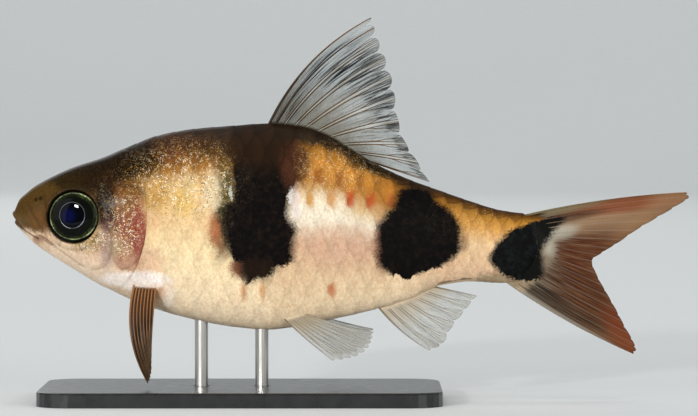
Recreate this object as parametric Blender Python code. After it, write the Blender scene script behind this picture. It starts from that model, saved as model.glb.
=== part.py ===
"""An arulius barb at life size, held over a plain display stand by two rods.

The fish heads along -X, its left side faces -Y and +Z is up. The floor is z = 0, and the
origin lies on it under the middle of the whole model. The fish's own measures are given as
fish books give them, in percent of its standard length: how far along from the snout, and
how high above the level of the snout's tip.
"""

import math

import bmesh
import bpy
import numpy as np
from mathutils import Matrix, Vector

# Driving sizes, in metres
STANDARD_LENGTH = 0.0788  # snout to the root of the tail fin
SNOUT_HEIGHT = 0.0280  # snout's tip above the floor
GAP = 0.0003  # air between two pieces that touch
PERCENT = STANDARD_LENGTH / 100
REACH = 128.4  # tip of the tail fin's upper lobe, along the fish
SNOUT_X = -REACH * PERCENT / 2

# Where the trunk ends, and the tail's own end, along the fish
TRUNK_END = 81.0
TAIL_END = 100.0

# The body's outline: along, back, belly, widest level, half width
OUTLINE = (
    (0.0, 0.2, 0.2, 0.2, 0.0),
    (0.29, 1.4, -1.1, 0.1, 1.33),
    (0.95, 2.8, -2.7, 0.0, 2.3),
    (2.1, 3.9, -4.0, -0.2, 3.25),
    (4.0, 5.4, -5.8, -0.6, 4.4),
    (6.7, 6.9, -7.7, -0.95, 5.5),
    (11.4, 9.0, -10.6, -1.5, 6.85),
    (16.6, 10.7, -13.7, -2.1, 7.8),
    (21.5, 12.8, -16.1, -1.9, 8.4),
    (27.6, 15.1, -18.4, -1.3, 8.75),
    (34.3, 16.3, -20.2, -0.95, 8.85),
    (41.9, 16.9, -21.6, -1.1, 8.75),
    (48.2, 17.3, -22.1, -1.5, 8.5),
    (54.3, 16.8, -21.4, -2.1, 8.0),
    (59.0, 15.3, -20.4, -2.5, 7.3),
    (63.8, 12.6, -19.4, -3.05, 6.5),
    (69.5, 9.2, -18.0, -4.0, 5.4),
    (75.2, 6.6, -16.2, -4.6, 4.5),
    (81.0, 4.5, -13.7, -5.1, 3.5),
    (86.7, 2.5, -12.9, -5.6, 2.8),
    (92.4, 0.8, -13.2, -6.2, 1.9),
    (100.0, -0.2, -12.5, -6.4, 0.85),
)
# How square the cross-sections are: 2 is an ellipse
HEAD_FULLNESS = 2.3
BACK_FULLNESS = 1.85
BELLY_FULLNESS = 2.15

# The gill opening parts the head from the trunk
GILL_TOP = 20.0  # along, at the nape
GILL_BOTTOM = 16.5  # along, at the throat
GILL_BULGE = 7.1  # how much further back it lies on the flank

# Eye: a low dome in front and a bowl behind, let into the side of the head
EYE_ALONG = 11.4
EYE_LEVEL = -0.35
EYE_RADIUS = 4.85 * PERCENT
EYE_FRONT = 0.0012
EYE_BACK = 0.0015
EYE_PROUD = 0.00035
EYE_FULLNESS = 2.7  # 2 would be a ball, more is fuller towards the edge
ORBIT_RIM = 0.00032

# Gill cover: a plate on each side of the head
COVER_TURNS = (math.radians(64), math.radians(136))
COVER_WIDTH = 8.2
COVER_RAISED = 0.0003
COVER_SUNK = 0.0006

# Mouth: oblique, from just under the snout's tip to its corners under the nostrils.
# Each line round the jaws is its level in front and at the corners.
UPPER_LIP_LEVELS = (0.1, -4.05)
MOUTH_LEVELS = (-0.65, -4.6)
LOWER_LIP_LEVELS = (-1.5, -5.05)
MOUTH_REACH = 2.0  # of the corners behind the jaws' outline at their level
LIP = 0.00050
BARBEL_PLACE = (5.0, -4.0)
BARBEL_LENGTH = 0.0031
BARBEL_ROOT = 0.00030
BARBEL_TIP = 0.00018
NOSTRIL = (4.7, 3.0)
NOSTRIL_RADIUS = 0.00038

# Fins
MEMBRANE = 0.0005
RAY_RISE = 0.00022  # of a ray over each face of the membrane
FIN_ROOT = 0.0007  # extra thickness where a fin leaves the body
TAIL_FIN_ROOT = 0.0003
PAIRED_FIN_ROOT = 0.0003
TIP_THICKNESS = 0.0003
ROOT_SINK = 0.0016
PAIRED_FIN_SET = 0.0004  # of a paired fin's foot into the skin
SIDE_OF_RAY = 0.22  # foot of a ray's ridge, as a share of the space between two rays

# Stand
BASE_SIZE = (0.060, 0.032, 0.0022)
BASE_CORNER = 0.005
BASE_EDGE = 0.0003
ROD_RADIUS = 0.0010
ROD_PLACES = (35.5, 47.0)
ROD_IN_BELLY = 0.0030
ROD_IN_BASE = 0.0013
BASE_SHIFT = 0.0015  # of the base behind the middle of the rods

BODY_SIDES = 32


# Scene and materials


def clear_scene():
    for obj in list(bpy.data.objects):
        bpy.data.objects.remove(obj)


def new_collection(name):
    collection = bpy.data.collections.new(name)
    bpy.context.scene.collection.children.link(collection)
    return collection


def material(name, colour, roughness, metallic=0.0):
    made = bpy.data.materials.new(name)
    made.use_nodes = True
    shader = made.node_tree.nodes["Principled BSDF"]
    shader.inputs["Base Color"].default_value = (*colour, 1.0)
    shader.inputs["Roughness"].default_value = roughness
    shader.inputs["Metallic"].default_value = metallic
    made.diffuse_color = (*colour, 1.0)
    return made


def dress(obj, finish, sharp_angle=40):
    """Gives a piece its one material and smooth shading with sharp edges."""
    obj.data.materials.clear()
    obj.data.materials.append(finish)
    obj.data.shade_smooth()
    obj.data.set_sharp_from_angle(angle=math.radians(sharp_angle))


# Curves through the fish's measures


def smooth_curve(places, values):
    """A cubic through the values that doesn't overshoot between them."""
    x, y = np.asarray(places, float), np.asarray(values, float)
    step = np.diff(x)
    slope = np.diff(y) / step
    tangent = np.concatenate([slope[:1], np.zeros(len(y) - 2), slope[-1:]])
    for i in range(1, len(y) - 1):
        if slope[i - 1] * slope[i] > 0:
            before = 2 * step[i] + step[i - 1]
            after = step[i] + 2 * step[i - 1]
            tangent[i] = (before + after) / (before / slope[i - 1] + after / slope[i])

    def value_at(place):
        i = int(np.clip(np.searchsorted(x, place) - 1, 0, len(step) - 1))
        t = min(max((place - x[i]) / step[i], 0.0), 1.0)
        return (
            y[i] * (1 + 2 * t) * (1 - t) ** 2
            + y[i + 1] * t * t * (3 - 2 * t)
            + step[i] * (tangent[i] * t * (1 - t) ** 2 - tangent[i + 1] * t * t * (1 - t))
        )

    return value_at


def outline_curves():
    """Back, belly, widest level and half width, over the square root of the place along."""
    columns = np.array(OUTLINE).T
    return [smooth_curve(np.sqrt(columns[0]), column) for column in columns[1:]]


BACK, BELLY, WIDEST, HALF_WIDTH = outline_curves()


def blend(a, b, share):
    return a + (b - a) * share


def smooth_step(low, high, place):
    t = min(max((place - low) / (high - low), 0.0), 1.0)
    return t * t * (3 - 2 * t)


def at(along, height, side=0.0):
    """The point this far along and this high, in percent, and side metres to the right."""
    return Vector((SNOUT_X + along * PERCENT, side, SNOUT_HEIGHT + height * PERCENT))


def section(along, grow=0.0):
    """Half heights above and below the widest level, that level, half width, fullnesses."""
    root = math.sqrt(max(along, 0.0))
    middle = WIDEST(root)
    above = BACK(root) - middle + grow / PERCENT
    below = middle - BELLY(root) + grow / PERCENT
    half = HALF_WIDTH(root) + grow / PERCENT
    full_back = blend(HEAD_FULLNESS, BACK_FULLNESS, smooth_step(15, 50, along))
    return above, below, middle, half, full_back


def skin(along, turn, grow=0.0):
    """The skin's point at this turn round the body: 0 is the back, a quarter the left flank."""
    above, below, middle, half, full_back = section(along, grow)
    c, s = math.cos(turn), math.sin(turn)
    power = 2 / (full_back if c > 0 else BELLY_FULLNESS)
    height = middle + math.copysign((above if c > 0 else below) * abs(c) ** power, c)
    side = -math.copysign(half * abs(s) ** power, s) * PERCENT
    return at(along, height, side)


def skin_normal(along, turn):
    step = 0.01
    ahead = skin(along + 20 * step, turn) - skin(max(along - 20 * step, 0.01), turn)
    round_it = skin(along, turn + step) - skin(along, turn - step)
    return round_it.cross(ahead).normalized()


def turn_at(along, height):
    """How far round the left side the skin lies at this height."""
    above, below, middle, _, full_back = section(along)
    if height > middle:
        share = min((height - middle) / above, 1.0)
        return math.acos(share ** (full_back / 2))
    share = min((middle - height) / below, 1.0)
    return math.pi - math.acos(share ** (BELLY_FULLNESS / 2))


def skin_side(along, height):
    """How far the skin stands out from the middle plane at this height, in metres."""
    return abs(skin(along, turn_at(along, height)).y)


def gill_edge(turn):
    """Where the gill opening lies along the fish, at this turn round the body."""
    down = 1 - abs(1 - turn / math.pi)
    return blend(GILL_TOP, GILL_BOTTOM, down) + GILL_BULGE * abs(math.sin(turn)) ** 1.5


# Mesh helpers


def link_mesh(name, mesh, collection):
    """A new object in the collection, from a bmesh whose faces are made to point out.

    They are split into triangles, so that no bent quad is left for a cut to fold.
    """
    mesh.normal_update()
    bmesh.ops.recalc_face_normals(mesh, faces=mesh.faces)
    bmesh.ops.triangulate(mesh, faces=mesh.faces)
    data = bpy.data.meshes.new(name)
    mesh.to_mesh(data)
    mesh.free()
    obj = bpy.data.objects.new(name, data)
    collection.objects.link(obj)
    return obj


def loft(name, rings, collection):
    """A closed body over rings of points. A ring of one point is a tip, any other end a cap."""
    mesh = bmesh.new()
    rows = [[mesh.verts.new(point) for point in ring] for ring in rings]
    for end in (rows[0], rows[-1]):
        if len(end) > 1:
            middle = sum((v.co for v in end), Vector()) / len(end)
            end_tip = mesh.verts.new(middle)
            for a, b in zip(end, end[1:] + end[:1]):
                mesh.faces.new((a, b, end_tip))
    for near, far in zip(rows, rows[1:]):
        for i in range(len(far)):
            j = (i + 1) % len(far)
            if len(near) == 1:
                mesh.faces.new((near[0], far[i], far[j]))
            else:
                mesh.faces.new((near[i], near[j], far[j], far[i]))
    return link_mesh(name, mesh, collection)


def sheet(name, front, back, collection):
    """A closed thin body between two grids alike, split into triangles the same way."""
    mesh = bmesh.new()
    front = [[mesh.verts.new(point) for point in row] for row in front]
    back = [[mesh.verts.new(point) for point in row] for row in back]
    for grid in (front, back):
        for low, high in zip(grid, grid[1:]):
            for i in range(len(low) - 1):
                mesh.faces.new((low[i], low[i + 1], high[i + 1]))
                mesh.faces.new((low[i], high[i + 1], high[i]))
    rims = [rim_of(front), rim_of(back)]
    for i in range(len(rims[0])):
        j = (i + 1) % len(rims[0])
        mesh.faces.new((rims[0][i], rims[0][j], rims[1][j]))
        mesh.faces.new((rims[0][i], rims[1][j], rims[1][i]))
    return link_mesh(name, mesh, collection)


def rim_of(grid):
    """The grid's border, once round."""
    left = [row[0] for row in grid]
    right = [row[-1] for row in grid]
    return left[:-1] + grid[-1][:-1] + right[:0:-1] + grid[0][:0:-1]


def ball(name, centre, radii, segments, collection):
    """A stretched ball whose poles face out sideways."""
    mesh = bmesh.new()
    bmesh.ops.create_uvsphere(mesh, u_segments=segments, v_segments=segments // 2, radius=1)
    turned = Matrix.Rotation(math.pi / 2, 4, "X")
    stretched = Matrix.Diagonal((*radii, 1.0))
    bmesh.ops.transform(
        mesh, matrix=Matrix.Translation(centre) @ stretched @ turned, verts=mesh.verts
    )
    return link_mesh(name, mesh, collection)


def rod(name, x, low, high, radius, collection, sides=16):
    mesh = bmesh.new()
    bmesh.ops.create_cone(
        mesh, cap_ends=True, segments=sides, radius1=radius, radius2=radius, depth=high - low
    )
    bmesh.ops.translate(mesh, vec=(x, 0, (low + high) / 2), verts=mesh.verts)
    return link_mesh(name, mesh, collection)


def tube(name, points, radii, collection, cyclic=False):
    """A round tube through the points, as a mesh: a curve with a bevel and closed ends."""
    line = bpy.data.curves.new(name, "CURVE")
    line.dimensions = "3D"
    line.bevel_depth = 1.0
    line.bevel_resolution = 2
    line.use_fill_caps = not cyclic
    spline = line.splines.new("POLY")
    spline.points.add(len(points) - 1)
    spline.use_cyclic_u = cyclic
    for point, place, radius in zip(spline.points, points, radii):
        point.co = (*place, 1.0)
        point.radius = radius
    source = bpy.data.objects.new(name + "_line", line)
    collection.objects.link(source)
    bpy.context.view_layer.update()
    graph = bpy.context.evaluated_depsgraph_get()
    mesh = bmesh.new()
    mesh.from_mesh(bpy.data.meshes.new_from_object(source.evaluated_get(graph)))
    bmesh.ops.remove_doubles(mesh, verts=mesh.verts, dist=1e-6)
    bpy.data.objects.remove(source)
    return link_mesh(name, mesh, collection)


def keep_largest(obj):
    """Keeps the one closed surface that holds the most, and drops any scrap."""
    mesh = bmesh.new()
    mesh.from_mesh(obj.data)
    mesh.faces.ensure_lookup_table()
    left, bodies = set(mesh.faces), []
    while left:
        body, edge = set(), [left.pop()]
        while edge:
            face = edge.pop()
            body.add(face)
            near = {f for e in face.edges for f in e.link_faces} & left
            left -= near
            edge.extend(near)
        volume = sum(
            f.calc_area() * f.normal.dot(f.calc_center_median()) for f in body
        )
        bodies.append((volume, len(bodies), body))
    bodies.sort(key=lambda found: found[:2])
    scraps = [face for _, _, body in bodies[:-1] for face in body]
    bmesh.ops.delete(mesh, geom=scraps, context="FACES")
    mesh.to_mesh(obj.data)
    mesh.free()


def apply_boolean(obj, operation, others, solver="EXACT"):
    """Joins the others to obj, or cuts them from it, and removes them."""
    group = new_collection(obj.name + "_" + operation.lower())
    for other in others:
        for home in list(other.users_collection):
            home.objects.unlink(other)
        group.objects.link(other)
    modifier = obj.modifiers.new(operation.lower(), "BOOLEAN")
    modifier.operation = operation
    modifier.operand_type = "COLLECTION"
    modifier.collection = group
    modifier.solver = solver
    bpy.context.view_layer.update()
    graph = bpy.context.evaluated_depsgraph_get()
    made = bpy.data.meshes.new_from_object(obj.evaluated_get(graph))
    obj.modifiers.clear()
    obj.data = made
    for other in others:
        bpy.data.objects.remove(other)
    bpy.data.collections.remove(group)
    keep_largest(obj)


# The body


def ring(place_along, grow=0.0):
    """One ring of the skin. place_along gives how far along each turn of it lies."""
    turns = [2 * math.pi * i / BODY_SIDES for i in range(BODY_SIDES)]
    return [skin(place_along(turn), turn, grow) for turn in turns]


def head_rings(count=17):
    rings = [[at(0, OUTLINE[0][1])]]
    for i in range(1, count + 1):
        share = (i / count) ** 1.7
        rings.append(ring(lambda turn, share=share: share * gill_edge(turn)))
    return rings


def trunk_rings(count=17):
    gap = GAP / PERCENT
    return [
        ring(lambda turn, share=i / count: blend(gill_edge(turn) + gap, TRUNK_END, share))
        for i in range(count + 1)
    ]


def tail_rings(count=7):
    start = TRUNK_END + GAP / PERCENT
    return [
        ring(lambda turn, share=i / count: blend(start, TAIL_END, share))
        for i in range(count + 1)
    ]


def body_with_air(name, collection):
    """The whole body, larger all round by the gap. It cuts whatever grows from the body."""
    rings = head_rings() + trunk_rings()[1:] + tail_rings()[1:]
    first = [[at(-GAP / PERCENT, OUTLINE[0][1])]]
    grown = [
        [
            skin((point.x - SNOUT_X) / PERCENT, 2 * math.pi * i / BODY_SIDES, GAP)
            for i, point in enumerate(points)
        ]
        for points in rings[1:]
    ]
    last = [point + Vector((GAP, 0, 0)) for point in grown[-1]]
    return loft(name, first + grown + [last], collection)


def head(collection, cutters):
    obj = loft("head", head_rings(), collection)
    apply_boolean(obj, "UNION", lips(cutters) + [orbit(cutters, s) for s in (-1, 1)])
    sockets = [eye_ball(f"socket_{s}", s, GAP, cutters) for s in (-1, 1)]
    nostrils = [nostril(cutters, s) for s in (-1, 1)]
    covers = [gill_plate(f"cover_seat_{s}", s, True, cutters) for s in (-1, 1)]
    apply_boolean(obj, "DIFFERENCE", sockets + nostrils + covers + [mouth_line(cutters)])
    return obj


def jaw_front(level):
    """How far along the front of the jaws lies at this level, under the snout's tip."""
    near, far = 0.0, 8.0
    for _ in range(30):
        middle = (near + far) / 2
        if BELLY(math.sqrt(middle)) > level:
            near = middle
        else:
            far = middle
    return far


def mouth_path(levels, out=0.0, count=15):
    """Points on the skin round the front of the jaws, from corner to corner."""
    points = []
    for i in range(count):
        swing = blend(-1, 1, i / (count - 1))
        level = blend(*levels, swing**2)
        along = jaw_front(level) + MOUTH_REACH * swing**2
        side = math.copysign(skin_side(along, level) + out, swing) if swing else 0.0
        lead = Vector((-out * (1 - swing**2), 0, 0))
        points.append(at(along, level, side) + lead)
    return points


def lips(collection):
    """The upper and the lower lip, thick in front and thin at the corners."""
    count = 15
    made = []
    for name, levels in (("upper_lip", UPPER_LIP_LEVELS), ("lower_lip", LOWER_LIP_LEVELS)):
        ends = [abs(blend(-1, 1, i / (count - 1))) for i in range(count)]
        radii = [LIP * blend(1.0, 0.4, end**3) for end in ends]
        made.append(tube(name, mouth_path(levels, -0.0001, count), radii, collection))
    return made


def mouth_line(collection):
    """The thin line between the lips."""
    points = mouth_path(MOUTH_LEVELS, 0.00022)
    return tube("mouth_line", points, [0.00018] * len(points), collection)


def eye_axes(side):
    """The eye's middle on the skin, then which way is out, back and up there."""
    turn = turn_at(EYE_ALONG, EYE_LEVEL)
    out = skin_normal(EYE_ALONG, turn)
    back = Vector((1, 0, 0))
    back = (back - out * back.dot(out)).normalized()
    up = back.cross(out) if back.cross(out).z > 0 else out.cross(back)
    return [mirrored(v, side) for v in (skin(EYE_ALONG, turn), out, back, up)]


def orbit(collection, side):
    """The rim of the eye socket: a ring laid on the side of the head."""
    count = 28
    middle, _, back, up = eye_axes(side)
    reach = EYE_RADIUS + GAP + 0.6 * ORBIT_RIM
    points = []
    for i in range(count):
        angle = 2 * math.pi * i / count
        spot = middle + (back * math.cos(angle) + up * math.sin(angle)) * reach
        along, height = (spot.x - SNOUT_X) / PERCENT, (spot.z - SNOUT_HEIGHT) / PERCENT
        points.append(at(along, height, side * (skin_side(along, height) - 0.00012)))
    return tube(f"orbit_{side}", points, [ORBIT_RIM] * count, collection, cyclic=True)


def eye_ball(name, side, grow, collection, segments=24):
    """A ball whose front and back are flattened, turned to face straight out of the skin."""
    middle, out, back, up = eye_axes(side)
    mesh = bmesh.new()
    bmesh.ops.create_uvsphere(mesh, u_segments=segments, v_segments=14, radius=1)
    power = 2 / EYE_FULLNESS
    for vert in mesh.verts:
        depth = vert.co.z
        reach = math.hypot(vert.co.x, vert.co.y)
        wide = (EYE_RADIUS + grow) * reach**power / reach if reach > 1e-6 else 0.0
        deep = (EYE_FRONT if depth > 0 else EYE_BACK) + grow
        spot = back * vert.co.x * wide + up * vert.co.y * wide
        spot += out * (math.copysign(deep * abs(depth) ** power, depth) + EYE_PROUD - EYE_FRONT)
        vert.co = middle + spot
    return link_mesh(name, mesh, collection)


def nostril(collection, side):
    """A pit in front of the eye, a little longer than it is high."""
    centre = at(*NOSTRIL, side * skin_side(*NOSTRIL))
    radii = (1.3 * NOSTRIL_RADIUS, 1.2 * NOSTRIL_RADIUS, NOSTRIL_RADIUS)
    return ball(f"nostril_{side}", centre, radii, 12, collection)


def gill_plate(name, side, as_seat, collection):
    """The gill cover, or the larger hollow in the head that it sits in."""
    air = GAP / PERCENT if as_seat else 0.0
    across, down = 7, 13
    air_turn = GAP / (12 * PERCENT) if as_seat else 0.0
    front, back = [], []
    for b in range(down):
        share = b / (down - 1)
        turn = blend(COVER_TURNS[0] - air_turn, COVER_TURNS[1] + air_turn, share)
        width = COVER_WIDTH * math.sin(math.pi * blend(0.03, 0.94, share)) ** 0.5
        rear = gill_edge(turn) + 8 * air
        fore = gill_edge(turn) - width - air
        outer, inner = [], []
        for a in range(across):
            along = blend(fore, rear, a / (across - 1))
            point, normal = skin(along, turn), skin_normal(along, turn)
            raised = 0.001 if as_seat else COVER_RAISED * (a > 0) * (0 < b < down - 1)
            sunk = COVER_SUNK + (GAP if as_seat else 0.0)
            outer.append(point + normal * raised)
            inner.append(point - normal * sunk)
        front.append([mirrored(point, side) for point in outer])
        back.append([mirrored(point, side) for point in inner])
    return sheet(name, front, back, collection)


def mirrored(point, side):
    """The point as it is for the left side, -1, and mirrored for the right side, 1."""
    return Vector((point.x, -side * point.y, point.z))


def barbel(name, side, collection):
    """The short feeler just over a corner of the mouth, which trails back and down."""
    along, level = BARBEL_PLACE
    root = at(along, level, -(skin_side(along, level) - 0.0003))
    count = 6
    points = []
    for i in range(count):
        share = i / (count - 1)
        lean = Vector((0.7, -0.85 + 0.3 * share, -0.45)) * BARBEL_LENGTH * share
        points.append(mirrored(root + lean, side))
    radii = [blend(BARBEL_ROOT, BARBEL_TIP, i / (count - 1)) for i in range(count)]
    return tube(name, points, radii, collection)


# Fins


def bezier(a, b, c, t):
    return a * (1 - t) ** 2 + b * 2 * t * (1 - t) + c * t * t


def curve_of_points(rows):
    """A curve through points, each given as share, then its coordinates."""
    columns = np.array(rows, float).T
    curves = [smooth_curve(columns[0], column) for column in columns[1:]]
    return lambda share: [curve(share) for curve in curves]


def fin_columns(rays):
    """Across the fin: share, whether it is the crest of a ray, and how deep the edge dips."""
    columns = []
    for i in range(rays - 1):
        for part, crest, dip in ((0.0, 1, 0.0), (SIDE_OF_RAY, 0, 0.3), (0.5, 0, 1.0)):
            columns.append(((i + part) / (rays - 1), crest, dip))
        columns.append(((i + 1 - SIDE_OF_RAY) / (rays - 1), 0, 0.3))
    return columns + [(1.0, 1, 0.0)]


def ray_fin(name, line, rays, rows, dip, collection, crowd=1.0, foot=FIN_ROOT):
    """A membrane with its rays as ridges on both faces.

    line(share, out) is the fin's middle surface: share runs from the first ray to the last,
    and out from 0 at the root to 1 at the edge. Below 0 it lies sunk in the body.
    """
    front, back = [], []
    for row in range(-1, rows + 1):
        low, high = [], []
        for share, crest, depth in fin_columns(rays):
            share = share**crowd
            out = row / rows * (1 - dip * depth) if row > 0 else float(row)
            point, normal = line(share, out), fin_normal(line, share, max(out, 0.0))
            root = max(1 - max(out, 0.0) / 0.3, 0.0) ** 2
            rise = RAY_RISE * crest * (1 - 0.55 * max(out, 0.0))
            thick = MEMBRANE + foot * root + 2 * rise
            if row == rows:
                thick = TIP_THICKNESS
            low.append(point + normal * thick / 2)
            high.append(point - normal * thick / 2)
        front.append(low)
        back.append(high)
    return sheet(name, front, back, collection)


def fin_normal(line, share, out):
    step = 0.02
    low, high = max(share - step, 0.0), min(share + step, 1.0)
    near, far = max(out - step, 0.0), min(out + step, 1.0)
    across = line(high, out) - line(low, out)
    outward = line(share, far) - line(share, near)
    return across.cross(outward).normalized()


def fin_line(root, control, tip, sink=None):
    """The middle surface of a fin from where its rays start, bend and end.

    sink is the way that its foot goes into the body, where that isn't straight on.
    """

    def line(share, out):
        start, bend, end = root(share), control(share), tip(share)
        if out < 0:
            into = sink or start - bend
            return start - into.normalized() * ROOT_SINK * out
        return bezier(start, bend, end, out)

    return line


def flat_fin_line(root, tip, bulge):
    """A fin in the middle plane. bulge(share) is each ray's bow, as a share of its length."""

    def control(share):
        start, end = root(share), tip(share)
        chord = end - start
        return (start + end) / 2 + Vector((-chord.z, 0, chord.x)) * 2 * bulge(share)

    return fin_line(root, control, tip)


def dorsal_fin(collection):
    """Tall and swept back, its first rays the longest, with a hollow rear edge."""
    tips = curve_of_points(
        (
            (0.0, 68.0, 37.4),
            (0.14, 69.3, 33.2),
            (0.28, 70.9, 28.8),
            (0.42, 72.2, 24.2),
            (0.56, 72.8, 19.3),
            (0.70, 74.2, 14.2),
            (0.85, 76.3, 10.6),
            (1.0, 78.7, 6.45),
        )
    )

    def root(share):
        along = blend(48.3, 67.2, share)
        return at(along, BACK(math.sqrt(along)) - 0.4)

    def bulge(share):
        return blend(0.085, 0.03, min(share * 2.5, 1.0)) + 0.01 * share**3

    line = flat_fin_line(root, lambda share: at(*tips(share)), bulge)
    return ray_fin("dorsal_fin", line, 10, 7, 0.06, collection, crowd=1.25)


def anal_fin(collection):
    tips = curve_of_points(
        (
            (0.0, 79.0, -26.0),
            (0.2, 81.3, -25.0),
            (0.45, 83.3, -21.6),
            (0.7, 85.6, -18.6),
            (1.0, 88.0, -15.6),
        )
    )

    def root(share):
        along = blend(69.2, 79.6, share)
        return at(along, BELLY(math.sqrt(along)) + 0.4)

    line = flat_fin_line(
        root, lambda share: at(*tips(share)), lambda share: -0.05 * (1 - share)
    )
    return ray_fin("anal_fin", line, 7, 6, 0.04, collection, crowd=1.15)


def tail_lobe(name, root_ends, tips, bow, collection):
    """One lobe of the tail fin, from its outer edge to the fork."""
    tip_curve = curve_of_points(tips)

    def root(share):
        return at(*(blend(a, b, share) for a, b in zip(*root_ends)))

    line = flat_fin_line(
        root, lambda share: at(*tip_curve(share)), lambda share: bow * (1 - share)
    )
    return ray_fin(name, line, 9, 7, 0.015, collection, foot=TAIL_FIN_ROOT)


def tail_fin(collection):
    split = GAP / PERCENT / 2
    upper = (
        (0.0, REACH - 0.35, 4.1),
        (0.12, REACH, 3.2),
        (0.25, 126.3, 1.7),
        (0.4, 122.5, -0.6),
        (0.55, 118.5, -3.0),
        (0.7, 114.9, -5.5),
        (0.85, 111.8, -7.4),
        (1.0, 109.9, -8.85 + split),
    )
    lower = (
        (0.0, 117.9, -26.7),
        (0.12, 118.4, -25.9),
        (0.25, 117.9, -24.4),
        (0.4, 116.2, -21.4),
        (0.55, 114.6, -18.3),
        (0.7, 112.8, -15.1),
        (0.85, 111.1, -12.1),
        (1.0, 109.9, -9.15 - split),
    )
    upper_root = ((97.3, -0.2), (99.6, -6.3 + split))
    lower_root = ((93.6, -13.0), (99.6, -6.6 - split))
    return [
        tail_lobe("tail_fin_upper", upper_root, upper, 0.022, collection),
        tail_lobe("tail_fin_lower", lower_root, lower, -0.026, collection),
    ]


def pelvic_fin(name, side, collection):
    """One of the pair under the belly, swept back and a little out to its side."""
    tips = curve_of_points(
        (
            (0.0, 60.6, -27.5, 5.6),
            (0.3, 64.4, -26.9, 5.7),
            (0.65, 67.5, -24.8, 5.3),
            (1.0, 68.4, -22.2, 4.5),
        )
    )

    def root(share):
        turn = math.radians(blend(153, 150, share))
        return mirrored(skin(blend(51.2, 54.8, share), turn, -PAIRED_FIN_SET), side)

    def tip(share):
        along, height, out = tips(share)
        return at(along, height, side * out * 0.001)

    def control(share):
        return root(share).lerp(tip(share), 0.45) + Vector((0, side * 0.0006, -0.0004))

    line = fin_line(root, control, tip)
    return ray_fin(name, line, 7, 5, 0.05, collection, foot=PAIRED_FIN_ROOT)


def pectoral_fin_left(collection):
    """Half folded, hanging down past the belly."""
    tips = curve_of_points(
        (
            (0.0, 25.8, -31.8, -6.6),
            (0.33, 26.3, -30.4, -7.2),
            (0.66, 26.5, -28.2, -7.8),
            (1.0, 26.5, -25.0, -8.2),
        )
    )
    bends = ((20.6, -22.6, -7.2), (26.6, -20.6, -8.4))

    def root(share):
        along = blend(23.0, 27.0, share)
        return skin(along, turn_at(along, blend(-13.3, -13.7, share)), -PAIRED_FIN_SET)

    def tip(share):
        along, height, side = tips(share)
        return at(along, height, side * 0.001)

    def control(share):
        along, height, side = (blend(a, b, share) for a, b in zip(*bends))
        return at(along, height, side * 0.001)

    line = fin_line(root, control, tip, Vector((-0.15, 0.8, 0.55)))
    return ray_fin("pectoral_fin_left", line, 8, 6, 0.02, collection, foot=PAIRED_FIN_ROOT)


def pectoral_fin_right(collection):
    """Swept back beside the flank."""
    tips = curve_of_points(
        (
            (0.0, 43.0, -9.8, 10.2),
            (0.33, 42.3, -13.2, 10.4),
            (0.66, 39.9, -16.0, 9.9),
            (1.0, 36.3, -17.6, 9.2),
        )
    )

    def root(share):
        along = blend(23.6, 25.6, share)
        turn = turn_at(along, blend(-11.4, -14.2, share))
        return mirrored(skin(along, turn, -PAIRED_FIN_SET), 1)

    def tip(share):
        along, height, side = tips(share)
        return at(along, height, side * 0.001)

    def control(share):
        return root(share).lerp(tip(share), 0.4) + Vector((0, 0.0014, 0))

    line = fin_line(root, control, tip, Vector((-0.6, -0.8, 0.0)))
    return ray_fin("pectoral_fin_right", line, 8, 6, 0.04, collection, foot=PAIRED_FIN_ROOT)


# The stand


def rod_x(place):
    return at(place, 0).x


def stand_base(collection, cutters):
    """A flat plate with round corners and a small bevel, bored for the rods."""
    middle = sum(rod_x(place) for place in ROD_PLACES) / len(ROD_PLACES) + BASE_SHIFT
    mesh = bmesh.new()
    bmesh.ops.create_cube(mesh, size=1.0)
    bmesh.ops.scale(mesh, vec=BASE_SIZE, verts=mesh.verts)
    bmesh.ops.translate(mesh, vec=(middle, 0, BASE_SIZE[2] / 2), verts=mesh.verts)
    upright = [e for e in mesh.edges if abs(e.verts[0].co.z - e.verts[1].co.z) > 1e-4]
    bmesh.ops.bevel(
        mesh, geom=upright, offset=BASE_CORNER, segments=6, profile=0.5, affect="EDGES"
    )
    rim = [e for e in mesh.edges if all(v.co.z > BASE_SIZE[2] - 1e-5 for v in e.verts)]
    bmesh.ops.bevel(mesh, geom=rim, offset=BASE_EDGE, segments=2, profile=0.5, affect="EDGES")
    obj = link_mesh("stand_base", mesh, collection)
    floor_of_hole = BASE_SIZE[2] - ROD_IN_BASE - GAP
    holes = [
        rod(f"hole_{i}", rod_x(place), floor_of_hole, 0.01, ROD_RADIUS + GAP, cutters)
        for i, place in enumerate(ROD_PLACES)
    ]
    apply_boolean(obj, "DIFFERENCE", holes)
    return obj


def rod_top(place):
    return at(place, BELLY(math.sqrt(place))).z + ROD_IN_BELLY


def stand_rods(collection):
    low = BASE_SIZE[2] - ROD_IN_BASE
    return [
        rod(f"stand_rod_{name}", rod_x(place), low, rod_top(place), ROD_RADIUS, collection)
        for name, place in zip(("front", "rear"), ROD_PLACES)
    ]


def trunk(collection, cutters):
    """The trunk, with a bore in the belly for each rod."""
    obj = loft("trunk", trunk_rings(), collection)
    bores = [
        rod(f"bore_{i}", rod_x(place), 0.0, rod_top(place) + GAP, ROD_RADIUS + GAP, cutters)
        for i, place in enumerate(ROD_PLACES)
    ]
    apply_boolean(obj, "DIFFERENCE", bores)
    return obj


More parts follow.
